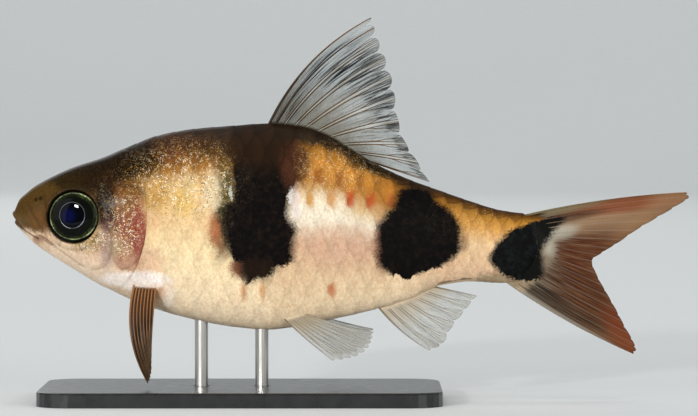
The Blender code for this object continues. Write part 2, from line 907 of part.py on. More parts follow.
def build():
    clear_scene()
    fish = new_collection("arulius_barb")
    cutters = new_collection("cutters")
    flank = material("flank_skin", (0.62, 0.44, 0.30), 0.42)
    brown = material("head_skin", (0.30, 0.19, 0.10), 0.4)
    cover = material("gill_cover_skin", (0.50, 0.28, 0.24), 0.35)
    eye = material("eye", (0.03, 0.035, 0.03), 0.08)
    clear_fin = material("clear_fin", (0.45, 0.42, 0.36), 0.4)
    red_fin = material("red_fin", (0.45, 0.14, 0.07), 0.4)
    brown_fin = material("brown_fin", (0.28, 0.17, 0.10), 0.4)
    black = material("stand_plate", (0.03, 0.03, 0.032), 0.5)
    steel = material("stand_rod", (0.6, 0.6, 0.6), 0.25, 1.0)

    dress(head(fish, cutters), brown)
    dress(trunk(fish, cutters), flank)
    dress(loft("tail", tail_rings(), fish), flank)
    for side, name in ((-1, "left"), (1, "right")):
        dress(eye_ball(f"eye_{name}", side, 0.0, fish), eye)
        dress(gill_plate(f"gill_cover_{name}", side, False, fish), cover)
    grown = [(dorsal_fin(fish), clear_fin), (anal_fin(fish), clear_fin)]
    grown += [(lobe, red_fin) for lobe in tail_fin(fish)]
    for side, name in ((-1, "left"), (1, "right")):
        grown.append((pelvic_fin(f"pelvic_fin_{name}", side, fish), clear_fin))
        grown.append((barbel(f"barbel_{name}", side, fish), brown_fin))
    grown.append((pectoral_fin_left(fish), brown_fin))
    grown.append((pectoral_fin_right(fish), brown_fin))
    for obj, finish in grown:
        apply_boolean(obj, "DIFFERENCE", [body_with_air("body_with_air", cutters)])
        dress(obj, finish, 60)
    dress(stand_base(fish, cutters), black)
    for obj in stand_rods(fish):
        dress(obj, steel)


build()
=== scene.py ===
# %% [markdown]
# # An arulius barb at life size, on a display stand
#
# This lesson dresses a solid model of a small barb as a museum model maker would: one cast
# skin, scales laid over it in rows, glass eyes, and fins of clear film over branching rays.
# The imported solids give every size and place. Each step first says what the real thing is.

# %% Load the solids
import math

import bmesh
import bpy
import numpy as np
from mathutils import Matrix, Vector


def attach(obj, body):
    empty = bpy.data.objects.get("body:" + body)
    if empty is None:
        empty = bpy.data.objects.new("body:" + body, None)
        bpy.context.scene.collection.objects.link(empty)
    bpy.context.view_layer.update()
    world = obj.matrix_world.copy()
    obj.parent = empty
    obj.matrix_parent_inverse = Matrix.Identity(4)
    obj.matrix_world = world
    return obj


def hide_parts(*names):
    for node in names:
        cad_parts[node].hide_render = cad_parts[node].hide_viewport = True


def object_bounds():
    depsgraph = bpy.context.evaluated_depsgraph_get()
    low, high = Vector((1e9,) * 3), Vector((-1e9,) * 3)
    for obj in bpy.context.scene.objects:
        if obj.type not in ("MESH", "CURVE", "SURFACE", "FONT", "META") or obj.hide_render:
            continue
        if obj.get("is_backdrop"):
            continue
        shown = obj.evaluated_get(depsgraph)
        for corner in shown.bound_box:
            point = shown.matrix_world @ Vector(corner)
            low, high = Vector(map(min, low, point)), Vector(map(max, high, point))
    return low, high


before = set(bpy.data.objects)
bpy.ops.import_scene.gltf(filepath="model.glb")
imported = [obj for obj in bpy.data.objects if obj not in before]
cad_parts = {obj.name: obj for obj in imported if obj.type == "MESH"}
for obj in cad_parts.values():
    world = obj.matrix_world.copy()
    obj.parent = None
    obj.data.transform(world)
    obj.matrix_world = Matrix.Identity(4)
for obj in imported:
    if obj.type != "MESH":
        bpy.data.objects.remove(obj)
bpy.context.view_layer.update()
solid_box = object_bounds()
MM = 0.001
print("solids:", len(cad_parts), "from", *[[round(v / MM, 1) for v in p] for p in solid_box])

# %% [markdown]
# ## The fish's own measures
#
# Fish books measure in percent of standard length: from the snout's tip to the root of the
# tail fin. Here a place is given as how far along it lies and how high above the level of the
# snout's tip. A table of a few sections, joined by a smooth curve, gives back, belly and width.
# The cross-sections are superellipses, a little squarer than an ellipse at the head. The same
# rule shaped the solids, so the skin made from it meets them everywhere.

# %% Driving sizes and the outline
STANDARD_LENGTH = 0.0788
PERCENT = STANDARD_LENGTH / 100
REACH = 128.4  # tip of the tail fin's upper lobe, along the fish
SNOUT_X = -REACH * PERCENT / 2
SNOUT_HEIGHT = 0.0280
# Along, back, belly, widest level, half width
OUTLINE = (
    (0.0, 0.2, 0.2, 0.2, 0.0),
    (0.29, 1.4, -1.1, 0.1, 1.33),
    (0.95, 2.8, -2.7, 0.0, 2.3),
    (2.1, 3.9, -4.0, -0.2, 3.25),
    (4.0, 5.4, -5.8, -0.6, 4.4),
    (6.7, 6.9, -7.7, -0.95, 5.5),
    (11.4, 9.0, -10.6, -1.5, 6.85),
    (16.6, 10.7, -13.7, -2.1, 7.8),
    (21.5, 12.8, -16.1, -1.9, 8.4),
    (27.6, 15.1, -18.4, -1.3, 8.75),
    (34.3, 16.3, -20.2, -0.95, 8.85),
    (41.9, 16.9, -21.6, -1.1, 8.75),
    (48.2, 17.3, -22.1, -1.5, 8.5),
    (54.3, 16.8, -21.4, -2.1, 8.0),
    (59.0, 15.3, -20.4, -2.5, 7.3),
    (63.8, 12.6, -19.4, -3.05, 6.5),
    (69.5, 9.2, -18.0, -4.0, 5.4),
    (75.2, 6.6, -16.2, -4.6, 4.5),
    (81.0, 4.5, -13.7, -5.1, 3.5),
    (86.7, 2.5, -12.9, -5.6, 2.8),
    (92.4, 0.8, -13.2, -6.2, 1.9),
    (100.0, -0.2, -12.5, -6.4, 0.85),
)
HEAD_FULLNESS = 2.3
BACK_FULLNESS = 1.85
BELLY_FULLNESS = 2.15
GILL_TOP = 20.0
GILL_BOTTOM = 16.5
GILL_BULGE = 7.1


def blend(a, b, share):
    return a + (b - a) * share


def smooth_step(low, high, place):
    t = np.clip((place - low) / (high - low), 0.0, 1.0)
    return t * t * (3 - 2 * t)


def ridge(distance, width):
    """1 on the line itself, falling off to nothing over about the width."""
    return np.exp(-((distance / width) ** 2))


def smooth_curve(places, values):
    """A cubic through the values that doesn't overshoot between them. It takes arrays."""
    x, y = np.asarray(places, float), np.asarray(values, float)
    step = np.diff(x)
    slope = np.diff(y) / step
    tangent = np.concatenate([slope[:1], np.zeros(len(y) - 2), slope[-1:]])
    for i in range(1, len(y) - 1):
        if slope[i - 1] * slope[i] > 0:
            before = 2 * step[i] + step[i - 1]
            after = step[i] + 2 * step[i - 1]
            tangent[i] = (before + after) / (before / slope[i - 1] + after / slope[i])

    def value_at(place):
        i = np.clip(np.searchsorted(x, place) - 1, 0, len(step) - 1)
        t = np.clip((place - x[i]) / step[i], 0.0, 1.0)
        bend = tangent[i] * t * (1 - t) ** 2 - tangent[i + 1] * t * t * (1 - t)
        return y[i] * (1 + 2 * t) * (1 - t) ** 2 + y[i + 1] * t * t * (3 - 2 * t) + step[i] * bend

    return value_at


def curve_of_points(rows):
    """A curve through points, each given as share, then its coordinates."""
    columns = np.array(rows, float).T
    curves = [smooth_curve(columns[0], column) for column in columns[1:]]
    return lambda share: np.stack([curve(share) for curve in curves], -1)


columns = np.array(OUTLINE).T
BACK, BELLY, WIDEST, HALF_WIDTH = [
    smooth_curve(np.sqrt(columns[0]), column) for column in columns[1:]
]
deepest, widest = max(columns[1] - columns[2]), 2 * max(columns[4])
print("deepest and widest:", *[round(span * PERCENT / MM, 1) for span in (deepest, widest)], "mm")

# %% [markdown]
# ## A skin that can be asked for any point
#
# A fish has no straight line to measure from, so two numbers name a point of its skin: how far
# along, and how far round from the back, as an angle. Everything that lies on the fish is
# placed through this one function, so that nothing needs to be fitted afterwards.

# %% Points, normals and levels of the plain skin


def at(along, height, side=0.0):
    """The points this far along and this high, in percent, and side metres to the right."""
    along, height, side = np.broadcast_arrays(along, height, side)
    return np.stack(
        [SNOUT_X + along * PERCENT, side.astype(float), SNOUT_HEIGHT + height * PERCENT], -1
    )


def mirrored(points, side):
    """Points of the left side, as they are where side is -1, or mirrored where it is 1."""
    return points * np.array([1, -side, 1])


def section(along):
    """Half heights above and below the widest level, that level, half width, fullness above."""
    root = np.sqrt(np.maximum(along, 0.0))
    middle = WIDEST(root)
    full_back = blend(HEAD_FULLNESS, BACK_FULLNESS, smooth_step(15, 50, along))
    return BACK(root) - middle, middle - BELLY(root), middle, HALF_WIDTH(root), full_back


def skin(along, turn):
    """The plain skin at this turn round the body: 0 is the back, a quarter the left flank."""
    above, below, middle, half, full_back = section(along)
    c, s = np.cos(turn), np.sin(turn)
    power = 2 / np.where(c > 0, full_back, BELLY_FULLNESS)
    height = middle + np.copysign(np.where(c > 0, above, below) * np.abs(c) ** power, c)
    side = -np.copysign(half * np.abs(s) ** power, s) * PERCENT
    return at(along, height, side)


def unit(vectors):
    return vectors / np.maximum(np.linalg.norm(vectors, axis=-1, keepdims=True), 1e-12)


def skin_normal(along, turn):
    step = 0.01
    ahead = skin(along + 20 * step, turn) - skin(np.maximum(along - 20 * step, 0.01), turn)
    round_it = skin(along, turn + step) - skin(along, turn - step)
    return unit(np.cross(round_it, ahead))


def turn_at(along, height):
    """How far round the left side the skin lies at this height."""
    above, below, middle, _, full_back = section(along)
    over = np.clip((height - middle) / above, 0.0, 1.0) ** (full_back / 2)
    under = np.clip((middle - height) / below, 0.0, 1.0) ** (BELLY_FULLNESS / 2)
    return np.where(height > middle, np.arccos(over), math.pi - np.arccos(under))


def skin_side(along, height):
    """How far the skin stands out from the middle plane at this height, in metres."""
    return np.abs(skin(along, turn_at(along, height))[..., 1])


def gill_edge(turn):
    """Where the gill opening lies along the fish, at this turn round the body."""
    down = 1 - np.abs(1 - turn / math.pi)
    return blend(GILL_TOP, GILL_BOTTOM, down) + GILL_BULGE * np.abs(np.sin(turn)) ** 1.5


def down_share(turn):
    """0 on the middle of the back, 1 on the middle of the belly, alike on both sides."""
    return 1 - np.abs(1 - np.mod(turn, 2 * math.pi) / math.pi)


print("skin at the gill opening:", (skin(27.0, math.pi / 2) / MM).round(2))

# %% [markdown]
# ## A few small helpers
#
# Blender's own calls are wordy, so a few helpers save repeating them. Three do the most:
# made_object makes a mesh object from arrays and stores what the materials will read, add adds
# a node with its settings and links, and grow runs a Geometry Nodes tree and keeps the plain
# mesh that comes out of it.

# %% Helpers for meshes and nodes


def made_object(name, points, faces, **stored):
    """A mesh object at the origin. stored are numbers or vectors, one for each point."""
    mesh = bpy.data.meshes.new(name)
    mesh.from_pydata(np.asarray(points, float).tolist(), [], [list(map(int, f)) for f in faces])
    for key, values in stored.items():
        store(mesh, key, values)
    mesh.shade_smooth()
    made = bpy.data.objects.new(name, mesh)
    bpy.context.scene.collection.objects.link(made)
    return made


def store(mesh, key, values):
    values = np.asarray(values, np.float32)
    kind, field = ("FLOAT", "value") if values.ndim == 1 else ("FLOAT_VECTOR", "vector")
    mesh.attributes.new(key, kind, "POINT").data.foreach_set(field, values.ravel())


def stored_on(mesh, key):
    """The vectors that a mesh holds for each of its points."""
    data = mesh.attributes[key].data
    values = np.zeros(len(data) * 3, np.float32)
    data.foreach_get("vector", values)
    return values.reshape(-1, 3).astype(float)


def paint_with(made, material):
    """Gives a piece this material in place of any that it has."""
    made.data.materials.clear()
    made.data.materials.append(material)


SMOOTH = {"interpolation_type": "SMOOTHSTEP"}


def feed(tree, node, links):
    """Gives each input, by name or number, a value, an output or another node's first output."""
    for key, value in links.items():
        if isinstance(value, bpy.types.Node):
            value = value.outputs[0]
        if isinstance(value, bpy.types.NodeSocket):
            tree.links.new(value, node.inputs[key])
        else:
            node.inputs[key].default_value = value


def add(tree, kind, links=None, **settings):
    """Adds a node with its settings and links. A kind without a family is a ShaderNode."""
    if not kind.startswith(("Geometry", "Function", "NodeGroup")):
        kind = "ShaderNode" + kind
    node = tree.nodes.new(kind)
    for key, value in settings.items():
        setattr(node, key, value)
    feed(tree, node, links or {})
    return node


def new_tree(name, inputs):
    """An empty Geometry Nodes tree with a geometry in and out, and inputs named for sizes."""
    tree = bpy.data.node_groups.new(name, "GeometryNodeTree")
    tree.interface.new_socket("Geometry", in_out="OUTPUT", socket_type="NodeSocketGeometry")
    for key, kind in {"Geometry": "Geometry", **inputs}.items():
        tree.interface.new_socket(key, in_out="INPUT", socket_type="NodeSocket" + kind)
    return tree, add(tree, "NodeGroupInput").outputs, add(tree, "NodeGroupOutput")


def grow(name, tree, values, source=None):
    """Runs the tree on a mesh and keeps the plain mesh that comes out of it."""
    holder = bpy.data.objects.new(name, source or bpy.data.meshes.new(name))
    bpy.context.scene.collection.objects.link(holder)
    modifier = holder.modifiers.new("grow", "NODES")
    modifier.node_group = tree
    for item in tree.interface.items_tree:
        if item.in_out == "INPUT" and item.name in values:
            modifier[item.identifier] = values[item.name]
    graph = bpy.context.evaluated_depsgraph_get()
    graph.update()
    mesh = bpy.data.meshes.new_from_object(holder.evaluated_get(graph))
    holder.modifiers.clear()
    bpy.data.objects.remove(holder)
    made = bpy.data.objects.new(name, mesh)
    bpy.context.scene.collection.objects.link(made)
    return made


def count(made):
    made.data.calc_loop_triangles()
    return f"{made.name}: {len(made.data.loop_triangles)} triangles"


# %% [markdown]
# ## The skin
#
# On the real fish one skin runs from the lips to the tail, with no seam at the gills. Sculpting
# it by hand would be the usual way. Here it is a flat sheet of places, along by round, which is
# split finer where the eye, the mouth and the gill cover need it. Only then is it rolled up
# into the fish, so that the fine parts cost faces only where they lie.

# %% The flat sheet of places, finer round the eye, the mouth and the gill cover
HEAD_ROWS = 84
HEAD_END = 29.0
TRUNK_STEP = 1.0
TAIL_CLOSE = (100.0, 100.4, 100.8, 101.2, 101.5)  # rows that run out thin in the fin
TAIL_ROOT = smooth_curve((-13.0, -6.45, -0.2), (94.2, 99.6, 98.0))  # along, for each height
TAIL_WEDGE = 1.7  # how far the flesh runs on between the roots of the rays
WEDGE_FROM = 90.0  # the flesh may run out into the tail fin behind this place
WEDGE_SPARE = 0.8  # so far past the wedge the sheet lies as it is
WEDGE_PULL = 0.9  # and what lies further back is drawn forward by this share
TURNS = 124
EYE_ALONG = 11.4
EYE_LEVEL = -0.35
EYE_RADIUS = 4.85 * PERCENT
EYE_ZONE = (3.9, 6.1)  # distances from the eye's middle between which the sheet is finer
NOSTRIL = (4.7, 3.0)
NOSTRIL_ZONE = 1.2
MOUTH_CORNER = (7.2, -5.2)
MOUTH_SLOPE = 0.55  # how fast the mouth falls on its way back
MOUTH_ZONE = (-6.6, 1.0)  # heights between which the sheet is finer, with the slope taken out
COVER_ZONE = 0.7  # it is finer this near the gill cover's edge, between these two turns
COVER_TURNS = (1.0, 2.45)
HEAD_SPARE = 0.8  # and the head's faces, finer too, end so far behind that edge


def place_sheet():
    """Along and turn of every point, and the faces between them."""
    head = HEAD_END * (np.arange(HEAD_ROWS + 1) / HEAD_ROWS) ** 1.7
    trunk = np.arange(HEAD_END, 100.0, TRUNK_STEP)[1:]
    rows = np.concatenate([head, trunk, TAIL_CLOSE])
    sheet = bmesh.new()
    grid = [
        [sheet.verts.new((row, 2 * math.pi * i / TURNS, 0)) for i in range(TURNS + 1)]
        for row in rows
    ]
    for near, far in zip(grid, grid[1:]):
        for i in range(TURNS):
            sheet.faces.new((near[i], near[i + 1], far[i + 1], far[i]))
    for wanted in (in_head, near_detail):
        split = [face for face in sheet.faces if wanted(face.calc_center_median())]
        edges = list({edge for face in split for edge in face.edges})
        bmesh.ops.subdivide_edges(sheet, edges=edges, cuts=1, use_grid_fill=True)
    bent = [face for face in sheet.faces if len(face.verts) > 4]
    bmesh.ops.triangulate(sheet, faces=bent)
    sheet.verts.index_update()
    places = np.array([vert.co[:2] for vert in sheet.verts])
    faces = [[vert.index for vert in face.verts] for face in sheet.faces]
    sheet.free()
    return places[:, 0].round(4), places[:, 1], faces


def in_head(place):
    return place.x < gill_edge(place.y) + HEAD_SPARE


def near_detail(place):
    """Whether the place lies by the eye's rim, the mouth, a nostril or the gill cover's edge."""
    turn = min(place.y, 2 * math.pi - place.y)
    if turn < 0.2:
        return False
    spot = skin(place.x, place.y)
    height = (spot[2] - SNOUT_HEIGHT) / PERCENT
    from_eye = math.hypot(place.x - EYE_ALONG, height - EYE_LEVEL)
    from_nostril = math.hypot(place.x - NOSTRIL[0], height - NOSTRIL[1])
    if EYE_ZONE[0] < from_eye < EYE_ZONE[1] or from_nostril < NOSTRIL_ZONE:
        return True
    level = height + MOUTH_SLOPE * place.x
    if place.x < MOUTH_CORNER[0] and MOUTH_ZONE[0] < level < MOUTH_ZONE[1]:
        return True
    by_cover = abs(place.x - gill_edge(place.y)) < COVER_ZONE
    return by_cover and COVER_TURNS[0] < turn < COVER_TURNS[1]


along, turn, skin_faces = place_sheet()
print("places:", len(along), "faces:", len(skin_faces))

# %% [markdown]
# ## Relief of the head
#
# A barb's head is bare of scales. It shows the bones under it: the rim of the eye socket, the
# small plates below the eye, the cheek's curved ridge, and the gill cover in its pieces, with a
# soft hem behind. The mouth is small and oblique, with fleshy lips. Each is a height added to
# the plain skin, worked out from the distance to a line drawn on the side of the head.

# %% Lines on the head
COAT_DEPTH = 0.14 * MM  # how far the skin lies under the scales' outer face
COVER_RISE = 0.16 * MM
LIP_RISE = 0.34 * MM
LIP_WIDTH = 0.36 * MM
MOUTH_DEPTH = 0.42 * MM
MOUTH_REACH = 2.0
UPPER_LIP_LEVELS = (0.1, -4.05)
MOUTH_LEVELS = (-0.65, -4.6)
LOWER_LIP_LEVELS = (-1.5, -5.05)
# Name, depth and width in mm, then the points of the line as along and height
HEAD_LINES = (
    ("cheek ridge", 0.08, 0.42,
     ((17.9, 0.6), (18.0, -2.0), (17.9, -6.0), (16.6, -9.0), (13.6, -9.7))),
    ("cheek groove", -0.13, 0.24,
     ((18.8, 1.0), (18.9, -2.0), (18.8, -6.2), (17.5, -9.8), (14.2, -10.7))),
    ("lower cover", -0.12, 0.22,
     ((18.9, -8.2), (21.0, -10.2), (23.4, -8.9), (25.2, -6.0), (26.4, -3.4))),
    ("cover top", -0.05, 0.28, ((18.2, 4.4), (20.4, 5.6), (23.0, 5.4), (25.4, 3.6))),
    ("jaw", -0.10, 0.25, ((7.6, -6.0), (9.6, -7.3), (11.8, -8.9), (13.9, -10.3))),
    ("upper jaw", -0.09, 0.28, ((2.6, 1.9), (3.6, 0.2), (4.9, -1.9), (5.9, -3.4), (6.6, -4.8))),
    ("snout fold", -0.07, 0.24, ((5.7, 4.6), (6.3, 1.6), (6.6, -1.8), (7.4, -4.6))),
    ("under the eye", -0.06, 0.22,
     ((7.4, -4.6), (9.4, -6.2), (12.2, -6.7), (15.0, -5.5), (16.8, -2.4))),
    ("plate edge", -0.06, 0.16, ((9.2, -4.9), (8.9, -6.1))),
    ("plate edge", -0.06, 0.16, ((12.6, -5.4), (13.1, -6.8))),
    ("plate edge", -0.06, 0.16, ((15.6, -3.7), (16.8, -4.4))),
    ("head canal", -0.05, 0.22, ((7.6, 5.4), (10.0, 6.2), (13.0, 6.1), (16.0, 5.4), (18.2, 4.9))),
)
# Pores of the head's sense canals, as arcs of so many pits between two places
PORE_RADIUS = 0.11 * MM
PORE_ROWS = (
    (5, (8.6, -5.6), (15.6, -5.1), 1.6),
    (4, (17.3, -8.6), (17.8, -1.0), -0.5),
    (3, (8.2, -6.9), (12.4, -9.6), 0.3),
    (4, (8.4, 5.6), (15.4, 5.7), -0.5),
)


def jaw_front(level):
    """How far along the front of the jaws lies at this level, under the snout's tip."""
    near, far = np.zeros_like(level), np.full_like(level, 8.0)
    for _ in range(30):
        middle = (near + far) / 2
        above = BELLY(np.sqrt(middle)) > level
        near, far = np.where(above, middle, near), np.where(above, far, middle)
    return far


def mouth_path(levels, samples=121):
    """Points on the skin round the front of the jaws, from corner to corner."""
    swing = np.linspace(-1, 1, samples)
    level = blend(levels[0], levels[1], swing**2)
    along = jaw_front(level) + MOUTH_REACH * swing**2
    return at(along, level, np.sign(swing) * skin_side(along, level))


def side_path(points, samples=60):
    """Points on the left side of the head along a smooth line through the given places."""
    points = np.array(points, float)
    spots = curve_of_points([(i, *point) for i, point in enumerate(points)])
    line = spots(np.linspace(0, len(points) - 1, samples))
    return at(line[:, 0], line[:, 1], -skin_side(line[:, 0], line[:, 1]))


def distance_to(points, path):
    """Distance of each point from the path, and the share of the path that it is nearest to."""
    best = np.full(len(points), np.inf)
    nearest = np.zeros(len(points))
    for i, (start, end) in enumerate(zip(path, path[1:])):
        step = end - start
        t = np.clip(((points - start) @ step) / max(step @ step, 1e-18), 0, 1)
        gap = np.linalg.norm(points - start - t[:, None] * step, axis=1)
        nearest = np.where(gap < best, (i + t) / (len(path) - 1), nearest)
        best = np.minimum(best, gap)
    return best, nearest


print("lines on the head:", len(HEAD_LINES), "pores:", sum(row[0] for row in PORE_ROWS))

# %% The relief, point by point


def eye_axes():
    """The left eye's middle on the skin, then which way is out, back and up there."""
    turned = turn_at(EYE_ALONG, EYE_LEVEL)
    out = skin_normal(EYE_ALONG, turned)
    back = unit(np.array([1.0, 0, 0]) - out * out[0])
    up = np.cross(back, out)
    return skin(EYE_ALONG, turned), out, back, up * np.sign(up[2])


def on_left(points):
    """The points mirrored to the left side, where the lines of the head are drawn."""
    return points * np.array([1, -1, 1]) * (points[:, 1:2] > 0) + points * (points[:, 1:2] <= 0)


def lips_and_lines(left):
    """Lips, mouth, grooves and pores: how far out they move the skin, and their painted shade."""
    raised, dark = np.zeros(len(left)), np.zeros(len(left))
    for levels in (UPPER_LIP_LEVELS, LOWER_LIP_LEVELS):
        gap, share = distance_to(left, mouth_path(levels))
        thin = blend(1.0, 0.35, np.abs(2 * share - 1) ** 3)
        raised += LIP_RISE * thin * ridge(gap, LIP_WIDTH * blend(0.7, 1.0, thin))
    gap, _ = distance_to(left, mouth_path(MOUTH_LEVELS))
    raised -= MOUTH_DEPTH * ridge(gap, 0.15 * MM)
    # Painted shade in the mouth's slit
    dark += ridge(gap, 0.17 * MM)
    for _, depth, width, points in HEAD_LINES:
        gap, share = distance_to(left, side_path(points))
        fade = smooth_step(0.0, 0.12, share) * smooth_step(1.0, 0.88, share)
        raised += depth * MM * ridge(gap, width * MM) * fade
        # Painted shade along each groove
        dark += (depth < 0) * 0.35 * ridge(gap, 0.8 * width * MM) * fade
    for pores, start, end, sag in PORE_ROWS:
        for share in np.linspace(0, 1, pores):
            spot = blend(np.array(start), np.array(end), share)
            spot[1] -= sag * 4 * share * (1 - share)
            gap = np.linalg.norm(left - at(*spot, -skin_side(*spot)), axis=1)
            raised -= 0.10 * MM * ridge(gap, PORE_RADIUS)
            # Painted shade in each pit
            dark += 0.5 * ridge(gap, PORE_RADIUS)
    return raised, dark


def nostrils(left):
    """Two openings close together in front of the eye, with a low flap between them."""
    raised, dark = np.zeros(len(left)), np.zeros(len(left))
    for shift, rise, reach in ((-0.42, -0.34, 0.26), (0.55, -0.30, 0.30), (0.07, 0.16, 0.16)):
        spot = (NOSTRIL[0] + shift * 0.9, NOSTRIL[1] + shift * 0.25)
        gap = np.linalg.norm(left - at(*spot, -skin_side(*spot)), axis=1)
        raised += rise * MM * ridge(gap, reach * MM)
        # A low rim round each opening
        raised += (rise < 0) * 0.09 * MM * ridge(gap - 1.5 * reach * MM, 0.14 * MM)
        # Painted shade inside each opening
        dark += (rise < 0) * ridge(gap, 0.9 * reach * MM)
    return raised, dark


# Angles from the back over which the gill cover's free hem starts and ends
HEM_TOP = (1.02, 1.25)
HEM_BOTTOM = (2.50, 2.22)


def trunk_inset(along, turn):
    """The step down behind the gill cover, and the room that the scales need."""
    behind = along - gill_edge(turn)
    from_back = math.pi * down_share(turn)
    covered = smooth_step(*HEM_TOP, from_back) * smooth_step(*HEM_BOTTOM, from_back)
    hem = blend(1.6, 0.22, covered)
    rise = COVER_RISE * covered * smooth_step(-7.0, -1.2, behind)
    rise -= 0.07 * MM * covered * ridge((behind + 1.1) * PERCENT, 0.16 * MM)
    return rise * (1 - smooth_step(0, hem, behind)) - COAT_DEPTH * smooth_step(0, hem, behind)


SOCKET_RADIUS = EYE_RADIUS + 0.10 * MM
SOCKET_DEPTH = 0.85 * MM


def dressed_skin(along, turn):
    """The skin's points with all relief, and the painted shade in its folds, pits and eye socket."""
    plain = skin(along, turn)
    level = (plain[:, 2] - SNOUT_HEIGHT) / PERCENT
    behind = along - TAIL_ROOT(level)
    shut = np.clip(behind / TAIL_WEDGE, 0, 0.985) * (along > WEDGE_FROM)
    shut = np.where(along >= TAIL_CLOSE[-1], 1.0, shut)
    plain[:, 1] *= 1 - shut
    # The sheet's thin end is drawn forward, so that it stays inside the fin's film
    past = np.maximum(behind - TAIL_WEDGE - WEDGE_SPARE, 0) * (along > WEDGE_FROM)
    plain[:, 0] -= WEDGE_PULL * past * PERCENT
    left = on_left(plain)
    raised = trunk_inset(along, turn)
    dark = np.zeros(len(along))
    head = along < 30
    for feature in (lips_and_lines, nostrils):
        more, painted_fold_shade = feature(left[head])
        raised[head] += more
        dark[head] += painted_fold_shade
    middle, out, back, up = eye_axes()
    across = np.hypot((left - middle) @ back, (left - middle) @ up)
    rim = ridge(across - SOCKET_RADIUS - 0.36 * MM, 0.26 * MM)
    raised += 0.13 * MM * rim * head
    inside = head * (1 - smooth_step(SOCKET_RADIUS - 0.10 * MM, SOCKET_RADIUS + 0.14 * MM, across))
    raised *= (1 - inside) * (1 - shut)
    points = plain + skin_normal(along, turn) * raised[:, None]
    outward = np.where(plain[:, 1:2] > 0, out * np.array([1, -1, 1]), out)
    points -= outward * (SOCKET_DEPTH * inside)[:, None]
    # The eye socket gets full painted shade as well
    return points, np.clip(dark + inside, 0, 1)


skin_points, skin_painted_shade = dressed_skin(along, turn)
print("relief from", (skin_points.min(0) / MM).round(2), "to", (skin_points.max(0) / MM).round(2), "mm")

# %% Roll the sheet up and close it


def place_of(points, turn):
    """What the markings read: along and height in percent, and the share down the side."""
    along = (points[:, 0] - SNOUT_X) / PERCENT
    height = (points[:, 2] - SNOUT_HEIGHT) / PERCENT
    return np.stack([along, height, down_share(turn)], -1)


def weld(made, distance):
    """Merges points that lie together, as along the seam of the rolled sheet."""
    mesh = bmesh.new()
    mesh.from_mesh(made.data)
    bmesh.ops.remove_doubles(mesh, verts=mesh.verts, dist=distance)
    bmesh.ops.recalc_face_normals(mesh, faces=mesh.faces)
    open_edges = sum(not edge.is_manifold for edge in mesh.edges)
    mesh.to_mesh(made.data)
    mesh.free()
    return open_edges


skin_piece = made_object(
    "skin", skin_points, skin_faces, place=place_of(skin_points, turn), dark=skin_painted_shade
)
print("open edges:", weld(skin_piece, 2e-8), count(skin_piece))

# %% [markdown]
# ## Scales
#
# An arulius barb has large scales, about twenty along the side and ten rows from back to
# belly. Each is rooted in a pocket of the skin and lies over the two behind it, like a tile.
# Placing them one by one would be slow and stiff. Here Geometry Nodes lay out one flat field
# of plates, every second row moved half a step, with a little spread in size. The field is
# then bent onto the body: columns follow the body's length and rows the lateral line, so the
# scales grow small towards the tail as the real ones do.

# %% One plate and the field of plates
SCALE_LENGTH = 2.15  # in steps from one scale to the next
SCALE_HEIGHT = 2.12  # in rows
PLATE = 0.018  # thickness in mm


def plate_nodes(tree, thickness):
    """One round plate, 2 across and closed all round, whose points keep their place on it."""
    grid = {"Size X": 2.0, "Size Y": 2.0, "Vertices X": 7, "Vertices Y": 9}
    grid = add(tree, "GeometryNodeMeshGrid", grid)
    x, y, _ = add(tree, "SeparateXYZ", {0: add(tree, "GeometryNodeInputPosition")}).outputs
    round_off = []
    for own, other in ((x, y), (y, x)):
        square = add(tree, "Math", {0: other, 1: other}, operation="MULTIPLY")
        less = add(tree, "Math", {0: square, 1: -0.5, 2: 1.0}, operation="MULTIPLY_ADD")
        root = add(tree, "Math", {0: less}, operation="SQRT")
        round_off.append(add(tree, "Math", {0: own, 1: root}, operation="MULTIPLY"))
    rounded = add(tree, "CombineXYZ", dict(enumerate(round_off)))
    disc = add(tree, "GeometryNodeSetPosition", {"Geometry": grid, "Position": rounded})
    marked = add(
        tree, "GeometryNodeStoreNamedAttribute",
        {"Geometry": disc, "Name": "local", "Value": add(tree, "GeometryNodeInputPosition")},
        data_type="FLOAT_VECTOR", domain="POINT",
    )
    raised = {"Mesh": marked, "Offset": (0, 0, 1), "Offset Scale": thickness}
    raised = add(tree, "GeometryNodeExtrudeMesh", {**raised, "Individual": False})
    border = add(tree, "GeometryNodeInputMeshEdgeNeighbors")
    alone = add(tree, "FunctionNodeCompare", {2: border, 3: 1}, data_type="INT", operation="EQUAL")
    rim = add(tree, "GeometryNodeMeshToCurve", {"Mesh": marked, "Selection": alone})
    under = add(tree, "GeometryNodeFillCurve", {"Curve": rim}, mode="NGONS")
    under = add(tree, "GeometryNodeFlipFaces", {"Mesh": under})
    plate = add(tree, "GeometryNodeJoinGeometry", {"Geometry": raised})
    feed(tree, plate, {"Geometry": under})
    return add(tree, "GeometryNodeMergeByDistance", {"Geometry": plate, "Distance": 1e-4})


